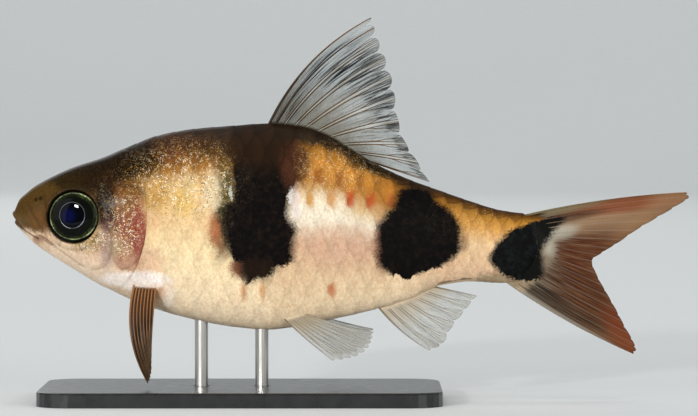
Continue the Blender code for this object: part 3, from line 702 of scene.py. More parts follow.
def scale_field_tree():
    """A flat field of plates. Its X counts columns, its Y rows and its Z mm."""
    tree, given, out = new_tree("scale_field", {
        "Columns": "Int", "Rows": "Int", "Scale Length": "Float", "Scale Height": "Float",
        "Thickness": "Float", "Size Spread": "Float", "Seed": "Int", "Material": "Material",
    })
    plate = plate_nodes(tree, given["Thickness"])
    number = add(tree, "GeometryNodeInputIndex")
    column = add(tree, "Math", {0: number, 1: given["Rows"]}, operation="DIVIDE")
    column = add(tree, "Math", {0: column}, operation="FLOOR")
    row = add(tree, "Math", {0: number, 1: given["Rows"]}, operation="FLOORED_MODULO")
    odd = add(tree, "Math", {0: row, 1: 2.0}, operation="FLOORED_MODULO")
    moved = add(tree, "Math", {0: odd, 1: 0.5, 2: column}, operation="MULTIPLY_ADD")
    total = add(tree, "Math", {0: given["Columns"], 1: given["Rows"]}, operation="MULTIPLY")
    roots = {"Count": total, "Position": add(tree, "CombineXYZ", {0: moved, 1: row})}
    roots = add(tree, "GeometryNodePoints", roots)
    least = add(tree, "Math", {0: 1.0, 1: given["Size Spread"]}, operation="SUBTRACT")
    spread, chance = [
        add(
            tree, "FunctionNodeRandomValue", {2: lowest, 3: 1.0, "Seed": given["Seed"]},
            data_type="FLOAT",
        ).outputs[1]
        for lowest in (least, 0.0)
    ]
    size = {2: 1.0}
    for axis, key in enumerate(("Scale Length", "Scale Height")):
        half = add(tree, "Math", {0: given[key], 1: 0.5}, operation="MULTIPLY")
        size[axis] = add(tree, "Math", {0: half, 1: spread}, operation="MULTIPLY")
    field = {"Points": roots, "Instance": plate, "Scale": add(tree, "CombineXYZ", size)}
    field = add(tree, "GeometryNodeInstanceOnPoints", field)
    root_place = add(tree, "CombineXYZ", {0: moved, 1: row, 2: chance})
    known = add(
        tree, "GeometryNodeStoreNamedAttribute",
        {"Geometry": field, "Name": "root", "Value": root_place},
        data_type="FLOAT_VECTOR", domain="INSTANCE",
    )
    real = add(tree, "GeometryNodeRealizeInstances", {"Geometry": known})
    done = add(tree, "GeometryNodeSetMaterial", {"Geometry": real, "Material": given["Material"]})
    feed(tree, out, {0: done})
    return tree


field_tree = scale_field_tree()
one_plate = grow("one_plate", field_tree, {
    "Columns": 1, "Rows": 1, "Scale Length": 2.0, "Scale Height": 2.0, "Thickness": PLATE,
    "Size Spread": 0.0, "Seed": 1,
})
PLATE_POINTS = len(one_plate.data.vertices)
PLATE_FACES = len(one_plate.data.polygons)
print(count(one_plate), PLATE_POINTS, "points", PLATE_FACES, "faces")
bpy.data.objects.remove(one_plate)

# %% [markdown]
# ## Bending the field onto the fish
#
# Rows of scales run side by side with the lateral line, not with the back or the belly. So a
# row's place is measured as a distance over the skin from that line. A table of arc lengths
# turns the distance back into an angle. Where a row runs out at the back or the belly, one
# row of middle scales covers the ends, as on the real fish.

# %% From columns and rows to places on the skin
STEP_ALONG = smooth_curve((10, 30, 55, 72, 88, 104), (3.6, 3.75, 3.9, 3.5, 2.95, 2.45))
ROW_STEP = smooth_curve((10, 30, 48, 70, 88, 104), (3.9, 4.3, 4.55, 3.9, 3.0, 2.6))
LATERAL_LINE = smooth_curve((10, 26, 45, 60, 75, 88, 104), (2.5, 1.2, -1.1, -1.5, -3.0, -5.2, -6.2))
FIRST_COLUMN = 12.0  # along, of column 0

line_places = np.linspace(FIRST_COLUMN - 4, 106, 800)
line_columns = np.concatenate([[0], np.cumsum(np.diff(line_places) / STEP_ALONG(line_places[1:]))])
line_columns -= np.interp(FIRST_COLUMN, line_places, line_columns)

SHARES = 200
arc_along = np.linspace(8, 106, 220)
arc_turns = np.linspace(0, math.pi, 361)
arc_points = skin(arc_along[:, None], arc_turns[None, :])
arc_steps = np.linalg.norm(np.diff(arc_points, axis=1), axis=2)
arc_lengths = np.concatenate([np.zeros((len(arc_along), 1)), np.cumsum(arc_steps, 1)], 1)
arc_total = arc_lengths[:, -1]
turn_table = np.array([
    np.interp(np.linspace(0, 1, SHARES + 1) * lengths[-1], lengths, arc_turns)
    for lengths in arc_lengths
])
lateral_turns = turn_at(arc_along, LATERAL_LINE(arc_along))
lateral_arc = np.array([
    np.interp(turned, arc_turns, lengths) for turned, lengths in zip(lateral_turns, arc_lengths)
])


def turn_of_share(along, share):
    """The angle at this share of the way over the skin from the back to the belly."""
    row = np.clip((along - arc_along[0]) / (arc_along[1] - arc_along[0]), 0, len(arc_along) - 1.001)
    column = np.clip(share * SHARES, 0, SHARES - 0.001)
    i, j = row.astype(int), column.astype(int)
    a, b = row - i, column - j
    near = turn_table[i, j] * (1 - b) + turn_table[i, j + 1] * b
    far = turn_table[i + 1, j] * (1 - b) + turn_table[i + 1, j + 1] * b
    return near * (1 - a) + far * a


def share_of_row(along, row):
    """The share of the way down the side at so many rows above the lateral line."""
    arc = np.interp(along, arc_along, lateral_arc) - row * ROW_STEP(along) * PERCENT
    return arc / np.interp(along, arc_along, arc_total)


def held_in(share, soft=0.02):
    """Keeps a share between 0 and 1, crowding what would run over the middle of the fish."""
    share = (share + np.sqrt(share**2 + soft**2)) / 2
    return 1 - (1 - share + np.sqrt((1 - share) ** 2 + soft**2)) / 2


side_columns = np.diff(np.interp((27, 100), line_places, line_columns))[0]
print("columns on the side:", round(float(side_columns), 1))

# %% The coat of scales
ROWS_BELOW = 6
ROWS_ABOVE = 6
ALL_ROWS = ROWS_BELOW + 1 + ROWS_ABOVE
COLUMNS = 27
ROOT_DEPTH = 0.16 * MM
TIP_RISE = 0.105 * MM
CLEAR_OF_GILLS = 1.4  # keeps the gill cover's paint off the first scales
OWN_PAINT = 0.12  # how far a scale takes its colour from its own middle, so that edges step
MIDDLE_LIFT = 0.015 * MM  # how far the middle rows lie over the ends of the others
PATCH_HALVES = (0.40, 0.46)  # half width of a scale's bake patch in steps: its top, its rim


def plate_height(local, chance):
    """How far a plate stands off the plain skin, from its root in the pocket to its free edge."""
    lift = (local[:, 0] + 1) / 2
    edge = np.minimum(np.hypot(local[:, 0], local[:, 1]), 1.0) ** 4
    return -ROOT_DEPTH + TIP_RISE * lift - 0.006 * MM * edge + 0.006 * MM * (chance - 0.5)


def beside_the_line(along, root_along, rows, root_rows):
    """The turn of each point in the rows of one side, and whether its scale is kept."""
    turn = turn_of_share(along, held_in(share_of_row(along, rows - ROWS_BELOW)))
    root_share = share_of_row(root_along, root_rows - ROWS_BELOW)
    root_turn = turn_of_share(root_along, np.clip(root_share, 0, 1))
    root_level = (skin(root_along, root_turn)[:, 2] - SNOUT_HEIGHT) / PERCENT
    kept = (root_share > 0.015) & (root_share < 0.985)
    kept &= root_along > gill_edge(root_turn) - 1.2
    return turn, kept & (root_along < TAIL_ROOT(root_level) - 1.5)


def over_the_middle(along, rows, belly):
    """The turn of each point in a row that lies along the back, or the belly, on both sides."""
    over = rows * ROW_STEP(along) * PERCENT * 0.8
    share = np.abs(over) / np.interp(along, arc_along, arc_total)
    turn = turn_of_share(along, 1 - share if belly else share)
    return np.where(over > 0, turn, 2 * math.pi - turn)


def whole_plates(kept, plate_faces):
    """The numbers of the kept plates' points, and the faces between them counted from 0."""
    numbers = np.flatnonzero(kept.reshape(-1, PLATE_POINTS)[:, 0])
    used = (numbers[:, None] * PLATE_POINTS + np.arange(PLATE_POINTS)).ravel()
    shifts = range(0, len(used), PLATE_POINTS)
    return used, [[v + shift for v in face] for shift in shifts for face in plate_faces]


def laid_field(seed, rows, side, span=None, belly=False):
    """One field of scales as points, faces and what the finish reads.

    side is -1 on the left and 1 on the right. A span is given for a single row that lies over
    both sides, on the back or the belly, from one place along the fish to another.
    """
    flat = grow("flat_field", field_tree, {
        "Columns": COLUMNS, "Rows": rows, "Scale Length": SCALE_LENGTH,
        "Scale Height": SCALE_HEIGHT, "Thickness": PLATE, "Size Spread": 0.06, "Seed": seed,
    })
    points, local, root = [stored_on(flat.data, key) for key in ("position", "local", "root")]
    way = -side  # a mirrored face turns the other way round
    plate_faces = [list(p.vertices)[::way] for p in flat.data.polygons[:PLATE_FACES]]
    bpy.data.objects.remove(flat)

    along, root_along = [
        np.interp(spots[:, 0], line_columns, line_places) for spots in (points, root)
    ]
    height = plate_height(local, root[:, 2]) + points[:, 2] * MM
    if span:
        turn = over_the_middle(along, points[:, 1], belly)
        kept = (root_along > span[0]) & (root_along < span[1])
        height += MIDDLE_LIFT
    else:
        turn, kept = beside_the_line(along, root_along, points[:, 1], root[:, 1])
    bare = skin(along, turn)
    laid = mirrored(bare + skin_normal(along, turn) * height[:, None], side)
    used, faces = whole_plates(kept, plate_faces)
    place = place_of(bare, turn).reshape(-1, PLATE_POINTS, 3)
    centre = np.argmin(np.hypot(local[:PLATE_POINTS, 0], local[:PLATE_POINTS, 1]))
    place = blend(place, place[:, centre : centre + 1], OWN_PAINT).reshape(-1, 3)
    place[:, 0] = np.maximum(place[:, 0], gill_edge(turn) + CLEAR_OF_GILLS)
    return laid[used], faces, place[used], local[used], root[used], points[used, 2]


# Seed, rows and side, then the span of a row over both sides and whether it is the belly's
FIELDS = (
    (11, ALL_ROWS, -1),
    (12, ALL_ROWS, 1),
    (13, 1, -1, (19.0, 46.8)),
    (14, 1, -1, (68.0, 96.0)),
    (15, 1, -1, (18.5, 67.5), True),
    (16, 1, -1, (79.5, 93.0), True),
)


def joined(fields):
    """All fields as one mesh. A bake map gives each scale its own patch."""
    shift, faces = 0, []
    for field in fields:
        faces += [[v + shift for v in face] for face in field[1]]
        shift += len(field[0])
    arrays = [np.concatenate([field[i] for field in fields]) for i in (0, 2, 3, 4)]
    points, place, local, root = arrays
    made = made_object("scales", points, faces, place=place, local=local, root=root)
    tops = np.concatenate([field[5] for field in fields]) > PLATE / 2
    strip = np.concatenate([np.full(len(field[0]), i) for i, field in enumerate(fields)])
    patch_map(made, local, root, tops, strip)
    made.data.set_sharp_from_angle(angle=math.radians(40))
    return made


def patch_map(made, local, root, tops, strip):
    """The skin unrolled into columns and rows, with one patch for each scale at its root."""
    room = np.array([rows + (rows > 1) for _, rows, *_ in FIELDS])
    rows_before = (np.cumsum(room) - room)[strip] + 0.5
    centre = np.stack([root[:, 0] + 0.8, root[:, 1] + rows_before], -1)
    size = np.array([COLUMNS + 1.5, sum(room) + 1.0])
    wide = np.where(tops, *PATCH_HALVES)[:, None]
    spots = (centre + local[:, :2] * wide) / size
    corner = (centre + 0.42 + local[:, :2] * 0.03) / size
    corners = np.zeros(len(made.data.loops), int)
    made.data.loops.foreach_get("vertex_index", corners)
    sides = np.array([len(face.vertices) for face in made.data.polygons])
    under = np.repeat(sides > 4, sides)
    layer = made.data.uv_layers.new(name="OFBake")
    layer.data.foreach_set("uv", np.where(under[:, None], corner[corners], spots[corners]).ravel())


scales_piece = joined([laid_field(*field) for field in FIELDS])
print(count(scales_piece), "scales:", len(scales_piece.data.vertices) // PLATE_POINTS)

# %% [markdown]
# ## Eyes
#
# The eye is large and set almost flush: a low clear dome over a black iris, with a thin
# silver ring round the pupil and a broken gold ring at its edge. Model makers set a glass
# eye. A ball would stand out like a bead, so the eye is turned from a flattened dome, in the
# same place and size as its solid, with many more facets. The rings are painted by their
# distance from the middle of the eye, which each point of the mesh remembers.

# %% The eyes
EYE_FRONT = 1.2 * MM
EYE_BACK = 1.5 * MM
EYE_PROUD = 0.35 * MM
EYE_FULLNESS = 2.7
EYE_RINGS = 40
EYE_SIDES = 96


def eye(name, side):
    """A flattened dome and bowl, closed at both poles, that faces straight out of the skin."""
    middle, out, back, up = eye_axes()
    power = 2 / EYE_FULLNESS
    rings = np.linspace(0, math.pi, EYE_RINGS + 1)[1:-1]
    angles = np.arange(EYE_SIDES) * 2 * math.pi / EYE_SIDES
    reach, depth = np.sin(rings) ** power, np.cos(rings)
    deep = np.where(depth > 0, EYE_FRONT, EYE_BACK) * np.abs(depth) ** power * np.sign(depth)
    reach = np.concatenate([[0.0], np.repeat(reach, EYE_SIDES), [0.0]])
    deep = np.concatenate([[EYE_FRONT], np.repeat(deep, EYE_SIDES), [-EYE_BACK]])
    angle = np.concatenate([[0.0], np.tile(angles, len(rings)), [0.0]])
    flat = np.stack([reach * np.cos(angle), reach * np.sin(angle), deep / EYE_FRONT], -1)
    points = middle + out * (deep + EYE_PROUD - EYE_FRONT)[:, None]
    points += (back * flat[:, :1] + up * flat[:, 1:2]) * EYE_RADIUS
    last = len(points) - 1
    faces = []
    for i in range(EYE_SIDES):
        j = (i + 1) % EYE_SIDES
        faces.append((0, 1 + i, 1 + j))
        base = 1 + (len(rings) - 1) * EYE_SIDES
        faces.append((last, base + j, base + i))
        for ring in range(len(rings) - 1):
            near, far = 1 + ring * EYE_SIDES, 1 + (ring + 1) * EYE_SIDES
            faces.append((near + i, far + i, far + j, near + j))
    made = made_object(name, mirrored(points, side), faces, iris=flat)
    weld(made, 1e-9)
    return made


eyes = {name: eye(f"glass_eye_{name}", side) for name, side in (("left", -1), ("right", 1))}
print(count(eyes["left"]), "radius", round(EYE_RADIUS / MM, 2), "mm")

# %% [markdown]
# ## Fins
#
# A barb's fin is a film of skin held up by bony rays. The leading rays are plain and stiff.
# The others divide two or three times on their way out, so that the edge is a row of fine
# brushes. A flat card with painted lines would look right from one side only. Here each fin is
# one bent surface, given by where its rays start, bend and end. The film is a thin closed sheet
# on that surface, and the rays are lines on it that Geometry Nodes thicken into tapering rods.

# %% A fin's surface


def ray_surface(root, control, tip, ripple=0.0):
    """Points of the fin: share runs from the first ray to the last, out from root to edge."""

    def surface(share, out):
        share, out = np.broadcast_arrays(np.asarray(share, float), np.asarray(out, float))
        start, bend, end = root(share), control(share), tip(share)
        out = out[..., None]
        points = start * (1 - out) ** 2 + bend * 2 * out * (1 - out) + end * out**2
        across = unit(np.cross(end - start, root(share + 0.05) - root(share - 0.05) + 1e-9))
        wave = np.sin(share * 17 + out[..., 0] * 3) * smooth_step(0.1, 0.8, out[..., 0])
        return points + across * (ripple * wave)[..., None]

    return surface


def flat_surface(root, tip, bulge, ripple):
    """A fin in the middle plane. bulge(share) is each ray's bow, as a share of its length."""

    def control(share):
        start, end = root(share), tip(share)
        chord = end - start
        bow = np.stack([-chord[..., 2], 0 * chord[..., 0], chord[..., 0]], -1)
        return (start + end) / 2 + bow * 2 * bulge(share)[..., None]

    return ray_surface(root, control, tip, ripple)


def tips_at(rows, flat=True):
    """A curve of tips from rows of share, along, height and, off the middle plane, side in mm."""
    spots = curve_of_points(rows)

    def tip(share):
        place = spots(share)
        side = 0.0 if flat else place[..., 2] * MM
        return at(place[..., 0], place[..., 1], side)

    return tip


# %% The shapes of the fins
PAIRED_FIN_SET = 0.4 * MM


def dorsal_surface():
    """Tall and swept back, its first rays the longest, with a hollow rear edge."""
    tip = tips_at((
        (0.0, 68.0, 37.4), (0.14, 69.3, 33.2), (0.28, 70.9, 28.8), (0.42, 72.2, 24.2),
        (0.56, 72.8, 19.3), (0.70, 74.2, 14.2), (0.85, 76.5, 10.3), (1.0, 79.0, 6.1),
    ))

    def root(share):
        along = blend(48.3, 67.2, share)
        return at(along, BACK(np.sqrt(along)) - 0.4)

    def bulge(share):
        return blend(0.085, 0.03, np.minimum(share * 2.5, 1.0)) - 0.03 * share**3

    return flat_surface(root, tip, bulge, 0.22 * MM)


def anal_surface():
    tip = tips_at((
        (0.0, 79.0, -26.0), (0.2, 81.3, -25.0), (0.45, 83.3, -21.6),
        (0.7, 85.6, -18.6), (1.0, 88.0, -15.6),
    ))

    def root(share):
        along = blend(69.2, 79.6, share)
        return at(along, BELLY(np.sqrt(along)) + 0.4)

    return flat_surface(root, tip, lambda share: -0.05 * (1 - share), 0.18 * MM)


def tail_surface():
    """Both lobes as one surface, from the upper edge through the fork to the lower edge."""
    tip = tips_at((
        (0.0, 128.05, 4.1), (0.06, REACH, 3.2), (0.125, 126.3, 1.7), (0.2, 122.5, -0.6),
        (0.275, 118.5, -3.0), (0.35, 114.9, -5.5), (0.425, 111.8, -7.4), (0.5, 109.9, -9.0),
        (0.575, 111.1, -12.1), (0.65, 112.8, -15.1), (0.725, 114.6, -18.3),
        (0.8, 116.2, -21.4), (0.875, 117.9, -24.4), (0.94, 118.4, -25.9), (1.0, 117.9, -26.7),
    ))
    root = tips_at(((0.0, 97.3, -0.2), (0.5, 99.6, -6.45), (1.0, 93.6, -13.0)))

    def bulge(share):
        return np.where(share < 0.5, 0.022 * (1 - 2 * share), -0.026 * (2 * share - 1))

    return flat_surface(root, tip, bulge, 0.25 * MM)


def pelvic_surface(side):
    """One of the pair under the belly, swept back and a little out to its side."""
    spots = tips_at((
        (0.0, 60.6, -27.5, -5.6), (0.3, 64.4, -26.9, -5.7),
        (0.65, 67.5, -24.8, -5.3), (1.0, 68.4, -22.2, -4.5),
    ), flat=False)

    def root(share):
        along = blend(51.2, 54.8, share)
        turned = np.radians(blend(153, 150, share))
        return mirrored(skin(along, turned) - skin_normal(along, turned) * PAIRED_FIN_SET, side)

    def tip(share):
        return mirrored(spots(share), side)

    def control(share):
        return blend(root(share), tip(share), 0.45) + np.array([0, side * 0.6, -0.4]) * MM

    return ray_surface(root, control, tip, 0.12 * MM)


def left_pectoral_surface():
    """Half folded, hanging down past the belly."""
    tip = tips_at((
        (0.0, 25.8, -31.8, -6.6), (0.33, 26.3, -30.4, -7.2),
        (0.66, 26.5, -28.2, -7.8), (1.0, 26.5, -25.0, -8.2),
    ), flat=False)
    control = tips_at(((0.0, 20.6, -22.6, -7.2), (1.0, 26.6, -20.6, -8.4)), flat=False)

    def root(share):
        along = blend(23.0, 27.0, share)
        turned = turn_at(along, blend(-13.3, -13.7, share))
        return skin(along, turned) - skin_normal(along, turned) * PAIRED_FIN_SET

    return ray_surface(root, control, tip, 0.10 * MM)


def right_pectoral_surface():
    """Swept back beside the flank."""
    tip = tips_at((
        (0.0, 43.0, -9.8, 10.2), (0.33, 42.3, -13.2, 10.4),
        (0.66, 39.9, -16.0, 9.9), (1.0, 36.3, -17.6, 9.2),
    ), flat=False)

    def root(share):
        along = blend(23.6, 25.6, share)
        turned = turn_at(along, blend(-11.4, -14.2, share))
        return mirrored(skin(along, turned) - skin_normal(along, turned) * PAIRED_FIN_SET, 1)

    def control(share):
        return blend(root(share), tip(share), 0.4) + np.array([0, 1.4, 0]) * MM

    return ray_surface(root, control, tip, 0.12 * MM)


dorsal_root, dorsal_tip = dorsal_surface()([0, 0], [0, 1])
print("first dorsal ray:", round(float(np.linalg.norm(dorsal_tip - dorsal_root)) / MM, 1), "mm")

# %% The film between the rays
FILM = 0.03 * MM
FILM_ROWS = 30
FILM_SPAN = (-0.03, 0.996)  # from just inside the body to just short of the rays' ends
ACROSS = 12  # points from one ray to the next


def edge_reach(from_ray, dip):
    """How far out the edge lies: round over each ray, with a sharp notch between two."""
    return 1 - dip * (1 - np.sqrt(np.clip(1 - (2 * from_ray) ** 2, 0, 1)))


def film(name, surface, rays, crowd, dip, foot, foot_reach):
    """A thin closed sheet, thick at its fleshy foot, with a notch between every two rays."""
    number = np.linspace(0, rays - 1, (rays - 1) * ACROSS + 1)
    share = (number / (rays - 1)) ** crowd
    out = np.linspace(*FILM_SPAN, FILM_ROWS)[:, None]
    reach = edge_reach(np.abs(number - np.round(number)), dip)
    edge = blend(1.0, reach, smooth_step(0.3, 1.0, out))
    points = surface(np.broadcast_to(share, (FILM_ROWS, len(share))), out * edge)
    normals = unit(np.cross(np.gradient(points, axis=1), np.gradient(points, axis=0)))
    from_root = np.linalg.norm(points - surface(share, 0 * share), axis=-1) * (out > 0)
    swell = np.clip(1 - from_root / foot_reach, 0, 1) ** 1.5 * (1 - np.abs(2 * share - 1) ** 3)
    half = (FILM + foot * swell)[..., None] / 2
    front, behind = points + normals * half, points - normals * half
    wide = len(share)
    numbers = np.arange(FILM_ROWS * wide).reshape(FILM_ROWS, wide)
    a, b = numbers[:-1, :-1].ravel(), numbers[:-1, 1:].ravel()
    c, d = numbers[1:, 1:].ravel(), numbers[1:, :-1].ravel()
    shift = FILM_ROWS * wide
    faces = list(zip(a, b, c, d)) + list(zip(d + shift, c + shift, b + shift, a + shift))
    ends = numbers[0, :-1], numbers[:-1, -1], numbers[-1, :0:-1], numbers[:0:-1, 0]
    rim = np.concatenate(ends)
    after = np.roll(rim, -1)
    faces += list(zip(rim + shift, after + shift, after, rim))
    nothing = np.zeros(points.shape[:2])
    spread = np.stack([number + nothing, out + nothing, from_root / MM], -1)
    both = np.concatenate([front.reshape(-1, 3), behind.reshape(-1, 3)])
    flat = np.tile(spread.reshape(-1, 3), (2, 1))
    side_turn = turn_at((both[:, 0] - SNOUT_X) / PERCENT, (both[:, 2] - SNOUT_HEIGHT) / PERCENT)
    made = made_object(name, both, faces, fin=flat, place=place_of(both, side_turn))
    weld(made, 1e-9)
    return made


print("film:", round(FILM / MM, 2), "mm thick, with", ACROSS, "points from ray to ray")

# %% Rays as lines on the fin


def ray_tree():
    """Thickens lines into closed, tapering rods. The lines hold their own radius."""
    tree, given, out = new_tree("rays", {"Sides": "Int", "Material": "Material"})
    line = add(tree, "GeometryNodeMeshToCurve", {"Mesh": given["Geometry"]})
    radius = add(tree, "GeometryNodeInputNamedAttribute", {"Name": "radius_mm"}, data_type="FLOAT")
    circle = {"Resolution": given["Sides"], "Radius": 1 * MM}
    circle = add(tree, "GeometryNodeCurvePrimitiveCircle", circle)
    rod = {"Curve": line, "Profile Curve": circle, "Scale": radius, "Fill Caps": True}
    rod = add(tree, "GeometryNodeCurveToMesh", rod)
    real = add(tree, "GeometryNodeRealizeInstances", {"Geometry": rod})
    done = add(tree, "GeometryNodeSetMaterial", {"Geometry": real, "Material": given["Material"]})
    feed(tree, out, {0: done})
    return tree


rod_tree = ray_tree()
RAY_STEPS = 30
RAY_SIDES = 5
ROOTED = -0.02  # rays start a little inside the foot


def strands(first, forks, spreads):
    """One ray as strands. Each is a start and end share of length, and its offsets there.

    A ray starts as so many strands side by side, and every strand divides in two at each fork.
    spreads says how far the outer strands lie from the middle at the end of each stretch, in
    rooms from one ray to the next.
    """
    made, before = [], np.zeros(first)
    if first > 1:
        before = np.linspace(-spreads[0], spreads[0], first)
    ends = [ROOTED, *forks, 1.0]
    for level, spread in enumerate(spreads):
        many = first * 2**level
        after = np.linspace(-spread, spread, many) if many > 1 else np.zeros(1)
        source = before if level == 0 else np.repeat(before, 2)
        for start, end in zip(source, after):
            made.append((ends[level], ends[level + 1], start, end, level))
        before = after
    return made


def rays_piece(name, surface, lines):
    """All the rays of a fin as one mesh of closed rods."""
    points, edges, radii, spread = [], [], [], []
    first = 0
    for number, shares, out, radius in lines:
        points.append(surface(np.clip(shares, 0, 1), out))
        radii.append(radius / MM)
        spread.append(np.stack([number + 0 * out, out, radius / MM], -1))
        edges += [(first + i, first + i + 1) for i in range(len(out) - 1)]
        first += len(out)
    mesh = bpy.data.meshes.new(name + "_lines")
    mesh.from_pydata(np.concatenate(points).tolist(), edges, [])
    store(mesh, "radius_mm", np.concatenate(radii))
    store(mesh, "fin", np.concatenate(spread))
    return grow(name, rod_tree, {"Sides": RAY_SIDES}, mesh)


def fin_rays(name, surface, rays, crowd, dip, thick, make, plain, short):
    """The rays of one fin. plain rays don't divide, and short ones lie against the first."""
    first, forks, spreads = make
    chance = np.random.default_rng(len(name))
    lines = []
    for i in range(rays):
        stiff = i < plain
        moved = [fork + chance.uniform(-0.05, 0.05) for fork in forks]
        whole = strands(1, (), (0.0,)) if stiff else strands(first, moved, spreads)
        for low, high, start, end, level in whole:
            out = np.linspace(low, high, max(int(RAY_STEPS * (high - low)), 4))
            swing = smooth_step(low, high, out) if level else (out - low) / (high - low)
            number = np.clip(i + blend(start, end, swing), 0, rays - 1)
            reach = edge_reach(np.abs(number - i), dip)
            out = out * blend(1.0, reach, smooth_step(0.3, 1.0, out)) * 0.992
            radius = thick * blend(1.0, 0.45, np.clip(out, 0, 1)) * (1.7 if stiff else 0.86**level)
            lines.append((number, (number / (rays - 1)) ** crowd, out, radius))
    for i, length in enumerate(short):
        out = np.linspace(ROOTED, length, 12)
        taper = blend(1.6, 0.6, np.linspace(0, 1, len(out)))
        lines.append((0 * out, 0.004 * (i + 1) + 0 * out, out, thick * taper))
    return rays_piece(name, surface, lines)


# How many strands a ray starts with, where they divide, and how far they spread
TWIN = (2, (0.52, 0.76), (0.10, 0.25, 0.42))
FINE = (1, (0.22, 0.46, 0.70), (0.0, 0.13, 0.30, 0.44))
SOFT = (1, (0.45, 0.72), (0.0, 0.20, 0.42))
# Name, surface, rays, crowding, edge notch, foot and ray radius in mm, make, plain, short rays
FINS = (
    ("dorsal_fin", dorsal_surface(), 10, 1.25, 0.075, 0.70, 0.105, TWIN, 2, (0.14, 0.36)),
    ("anal_fin", anal_surface(), 7, 1.15, 0.06, 0.60, 0.08, TWIN, 1, (0.18, 0.42)),
    ("tail_fin", tail_surface(), 19, 1.0, 0.015, 1.00, 0.085, FINE, 1, (0.2, 0.34)),
    ("pelvic_fin_left", pelvic_surface(-1), 9, 1.0, 0.06, 0.45, 0.075, SOFT, 1, ()),
    ("pelvic_fin_right", pelvic_surface(1), 9, 1.0, 0.06, 0.45, 0.075, SOFT, 1, ()),
    ("pectoral_fin_left", left_pectoral_surface(), 8, 1.0, 0.03, 0.45, 0.125, SOFT, 1, ()),
    ("pectoral_fin_right", right_pectoral_surface(), 12, 1.0, 0.05, 0.45, 0.08, SOFT, 1, ()),
)
films, rays = {}, {}
for name, surface, many, crowd, dip, foot, thick, make, plain, short in FINS:
    foot_reach = (3.2 if name == "tail_fin" else 1.4) * MM
    films[name] = film(name + "_film", surface, many, crowd, dip, foot * MM, foot_reach)
    rays[name] = fin_rays(name + "_rays", surface, many, crowd, dip, thick * MM, make, plain, short)
    print(count(films[name]), count(rays[name]))

# %% [markdown]
# ## Barbels
#
# A short feeler hangs at each corner of the mouth. It is a soft rod that tapers to a blunt
# end, and it droops a little. One line and the same rod-making tree give its shape.

# %% The barbels
BARBEL_PLACE = (5.0, -4.0)
BARBEL_LENGTH = 3.1 * MM
BARBEL_RADII = (0.31, 0.15)  # in mm, at the root and the end
BARBEL_SIDES = 14


def barbel(name, side):
    share = np.linspace(0, 1, 18)
    root = at(*BARBEL_PLACE, -(skin_side(*BARBEL_PLACE) - 0.3 * MM))
    lean = np.stack([0.7 + 0 * share, -0.85 + 0.3 * share, -0.45 + 0 * share], -1)
    points = mirrored(root + lean * (BARBEL_LENGTH * share)[:, None], side)
    rounded = np.sqrt(np.clip((1.0 - share) / 0.06, 0.02, 1))
    radii = blend(BARBEL_RADII[0], BARBEL_RADII[1], share) * rounded
    mesh = bpy.data.meshes.new(name)
    mesh.from_pydata(points.tolist(), [(i, i + 1) for i in range(len(share) - 1)], [])
    store(mesh, "radius_mm", radii)
    return grow(name, rod_tree, {"Sides": BARBEL_SIDES}, mesh)


barbels = {name: barbel(f"feeler_{name}", side) for name, side in (("left", -1), ("right", 1))}
print(count(barbels["left"]))

# %% [markdown]
# ## Markings
#
# Most of the fish's look is paint: a dark back, a gold shoulder, a cream flank, three black
# blotches, a dusky red gill cover, and glitter over all of it, its glints painted too. An image
# would be the quick way.
# Here the markings are worked out from the place on the fish, in the same percent as its
# shape, so skin and scales always agree. A ramp from back to belly gives the ground colour,
# bars give the blotches by their front and rear edge at each height, and soft ellipses give
# the rest.

# %% Ground colours, bars and patches


def colour(code):
    """The linear colour for an sRGB hex code."""
    parts = [int(code[i : i + 2], 16) / 255 for i in (0, 2, 4)]
    return (*[p / 12.92 if p <= 0.04045 else ((p + 0.055) / 1.055) ** 2.4 for p in parts], 1.0)


# From back to belly, as the share of the way down the side
GROUND = {
    "head": (
        (0.0, "2A1C0A"), (0.16, "4E3C18"), (0.26, "5E4A20"), (0.40, "64481F"), (0.47, "94764C"),
        (0.54, "D6BA94"), (0.65, "EAD0B0"), (0.80, "F0DCC2"), (1.0, "F6E2C8"),
    ),
    "shoulder": (
        (0.0, "201206"), (0.13, "2E1B0A"), (0.20, "4A3012"), (0.25, "6A4820"), (0.31, "A67432"),
        (0.39, "E4C48C"), (0.50, "ECCD9A"), (0.60, "F7E4B6"), (0.71, "FFEBC4"), (1.0, "FFEED0"),
    ),
    "flank": (
        (0.0, "181008"), (0.12, "20160A"), (0.155, "5E4420"), (0.19, "B0782C"), (0.25, "D0903A"),
        (0.33, "B8803A"), (0.40, "DDBF8C"), (0.46, "F4ECD4"), (0.55, "D8B494"), (0.64, "E2C6A0"),
        (0.78, "F6E0BA"), (1.0, "FFEED0"),
    ),
    "wrist": (
        (0.0, "241606"), (0.10, "4A3012"), (0.16, "764E1A"), (0.25, "BA8434"), (0.35, "DCA658"),
        (0.50, "E8CA9E"), (0.74, "E0C09E"), (1.0, "CEBA9A"),
    ),
}
# Each ground colour but the first, and between which places along the fish it takes over
GROUND_SPANS = (("shoulder", 19.0, 25.0), ("flank", 44.0, 52.0), ("wrist", 72.0, 83.0))
